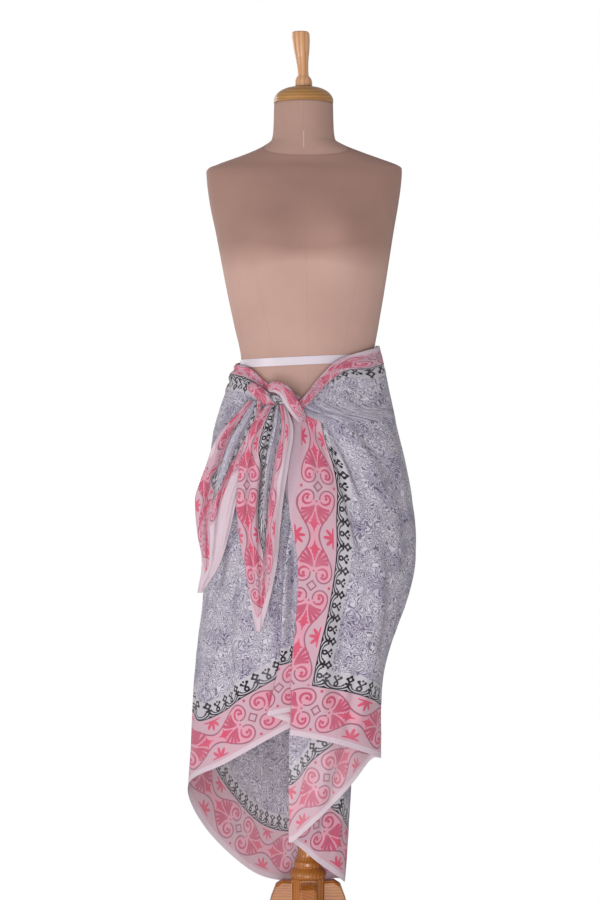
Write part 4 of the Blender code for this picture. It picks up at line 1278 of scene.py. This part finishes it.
def wood(name, tones, grainAxis, roughness, ringScale=34.0):
    # growth rings cut lengthwise: rings round a line off to one side, stretched along the grain, with
    # fine dark pores and a slow change of tone, under a thin coat of varnish
    made, tree, shader = startMaterial(
        name, Roughness=roughness, Coat_Roughness=0.18, Specular_IOR_Level=0.45, Coat_Weight=0.35,
    )
    middle, dark, pale = tones
    where = objectPlace(tree)
    values = {
        "Vector": where, "Location": (0.031, 0.017, 0.0),
        "Scale": tuple(0.07 if axis == grainAxis else 1.0 for axis in "XYZ"),
    }
    long = out(tree, addNode(tree, "ShaderNodeMapping", None, values))
    a, b = [wire for axis, wire in zip("XYZ", axesOf(long)) if axis != grainAxis]
    bend = (noise(long, 14.0, 2.0) - 0.5) * 0.022
    rings = ((lengthOf(a + 0.04, b - 0.02) + bend) * ringScale * 6.0) % 1.0
    grain = clamped(rings * rings * 1.2)
    pore = clamped((noise(long, 620.0, 2.0) - 0.58) * 6.0)
    colour = mixed(clamped((noise(where, 11.0, 2.0) - 0.35) * 2.2), middle, pale)
    colour = mixed(grain * 0.65, colour, dark)
    colour = mixed(pore * 0.4, colour, dark)
    feed(shader, "Base Color", colour)
    feed(shader, "Roughness", roughness + 0.14 * pore + 0.05 * grain)
    bumped(shader, 0 - pore - grain * 0.2, 0.0004, 0.35)
    return made


def buildTurned(name, node, finish, base=0.0, aside=0.0, lean=(0.0, 0.0)):
    # a profile of radius and height, made smooth and swept round an upright line that may lean to the
    # side
    profile = stand[node]
    step = runAlong(profile)
    at = np.unique(np.concatenate([step, np.linspace(0, step[-1], (len(step) - 1) * stand["smoothing"] + 1)]))
    radius, height = smoothCurve(step, profile, at).T[..., None]
    turn = np.linspace(0, 2 * math.pi, stand["round"], endpoint=False)
    slope, start = lean
    x = aside + slope * np.maximum(height - start, 0) + radius * np.cos(turn)
    rings = np.stack([x, radius * np.sin(turn), height + base + 0 * x], axis=-1)
    carry(tubeMesh(name, rings, [finish]), node)


layers = [printedCotton("printedCotton", False), printedCotton("printedCottonWrongSide", True)]
buildWrap(layers)
for name in ("tail_left", "tail_right"):
    buildTail(name, layers)
for name in ("knot_core", "knot_band"):
    buildKnotPiece(name, layers[0])
buildForm(jersey())
buildRibbon(satin())
honey = wood("honeyWood", stand["honey"], "Z", 0.38)
peach = wood("peachWood", stand["peach"], "Z", 0.30, 20.0)
capWood = wood("capWood", stand["capTone"], "X", 0.42)
neck = stand["neckMiddle"]
buildTurned("stand_cap", "neck_cap", capWood, stand["capBase"], neck)
buildTurned("stand_finial", "finial", peach, stand["finialBase"], neck, stand["finialLean"])
buildTurned("stand_knob", "knob", honey)
buildTurned("stand_pole", "pole", honey)
# the hub and the legs stay as packed, each leg's grain along it
onX, onY = wood("legWoodAlong", stand["honey"], "X", 0.4), wood("legWoodAcross", stand["honey"], "Y", 0.4)
for name, finish in {"hub": honey, "leg_1": onX, "leg_2": onY, "leg_3": onX, "leg_4": onY}.items():
    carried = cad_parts[name]
    carried.data.materials.clear()
    carried.data.materials.append(finish)
print("form, ribbon and stand")


# Studio: a pale round floor, a white surround and soft lights.
studio = {
    "distance": 4.0,
    "height": 1.010,
    "aside": -0.0144,
    "lens": 88.9,
    "floorRadius": 0.92,
    "surround": 0.46,
    "lights": {
        "front": ((-0.2, -3.7, 0.35), (0, 0, 1.0), 1.2, 66),
        "side": ((-2.7, -1.9, 1.0), (0, 0, 0.9), 1.1, 26),
        "back": ((-1.8, 2.2, 1.9), (0, 0, 1.1), 1.6, 18),
        "low": ((-0.6, -2.6, 0.15), (-0.05, 0.1, 0.38), 0.9, 7),
    },
}


def buildStudio():
    p = studio
    scene = bpy.context.scene
    lens = bpy.data.cameras.new("camera")
    lens.sensor_width = 36
    lens.lens = p["lens"]
    camera = bpy.data.objects.new("camera", lens)
    camera.location = (p["aside"], -p["distance"], p["height"])
    camera.rotation_euler = (math.radians(90), 0, 0)
    scene.collection.objects.link(camera)
    scene.camera = camera
    for name, (place, aim, size, power) in p["lights"].items():
        lampData = bpy.data.lights.new(name, "AREA")
        lampData.size = size
        lampData.energy = power
        lamp = bpy.data.objects.new(name, lampData)
        lamp.location = place
        lamp.rotation_euler = Vector(np.subtract(aim, place)).to_track_quat("-Z", "Y").to_euler()
        scene.collection.objects.link(lamp)
    # the surround is seen white, and lights the object less than that
    scene.world = bpy.data.worlds.new("surround")
    scene.world.use_nodes = True
    tree = scene.world.node_tree
    background = tree.nodes["Background"]
    background.inputs["Color"].default_value = (1, 1, 1, 1)
    seen = out(tree, addNode(tree, "ShaderNodeLightPath"), "Is Camera Ray")
    feed(background, "Strength", p["surround"] + (1 - p["surround"]) * seen)
    # the floor is a thin disc
    turn = np.linspace(0, 2 * math.pi, 96, endpoint=False)
    radius = p["floorRadius"]
    rim = np.stack([radius * np.cos(turn), radius * np.sin(turn), 0 * turn - 0.0005], axis=-1)
    mesh = bpy.data.meshes.new("floor")
    mesh.from_pydata(rim.tolist(), [], [list(range(len(turn)))])
    mesh.update()
    made, tree, shader = startMaterial("floorPale", Roughness=0.7)
    speck = noise(objectPlace(tree), 60.0, 4.0)
    feed(shader, "Base Color", mixed(speck, srgb(243, 242, 240), srgb(236, 235, 234)))
    bumped(shader, speck, 0.0005, 0.2)
    addObject("floor", mesh, [made])


buildStudio()
bpy.context.scene.view_settings.view_transform = "Standard"
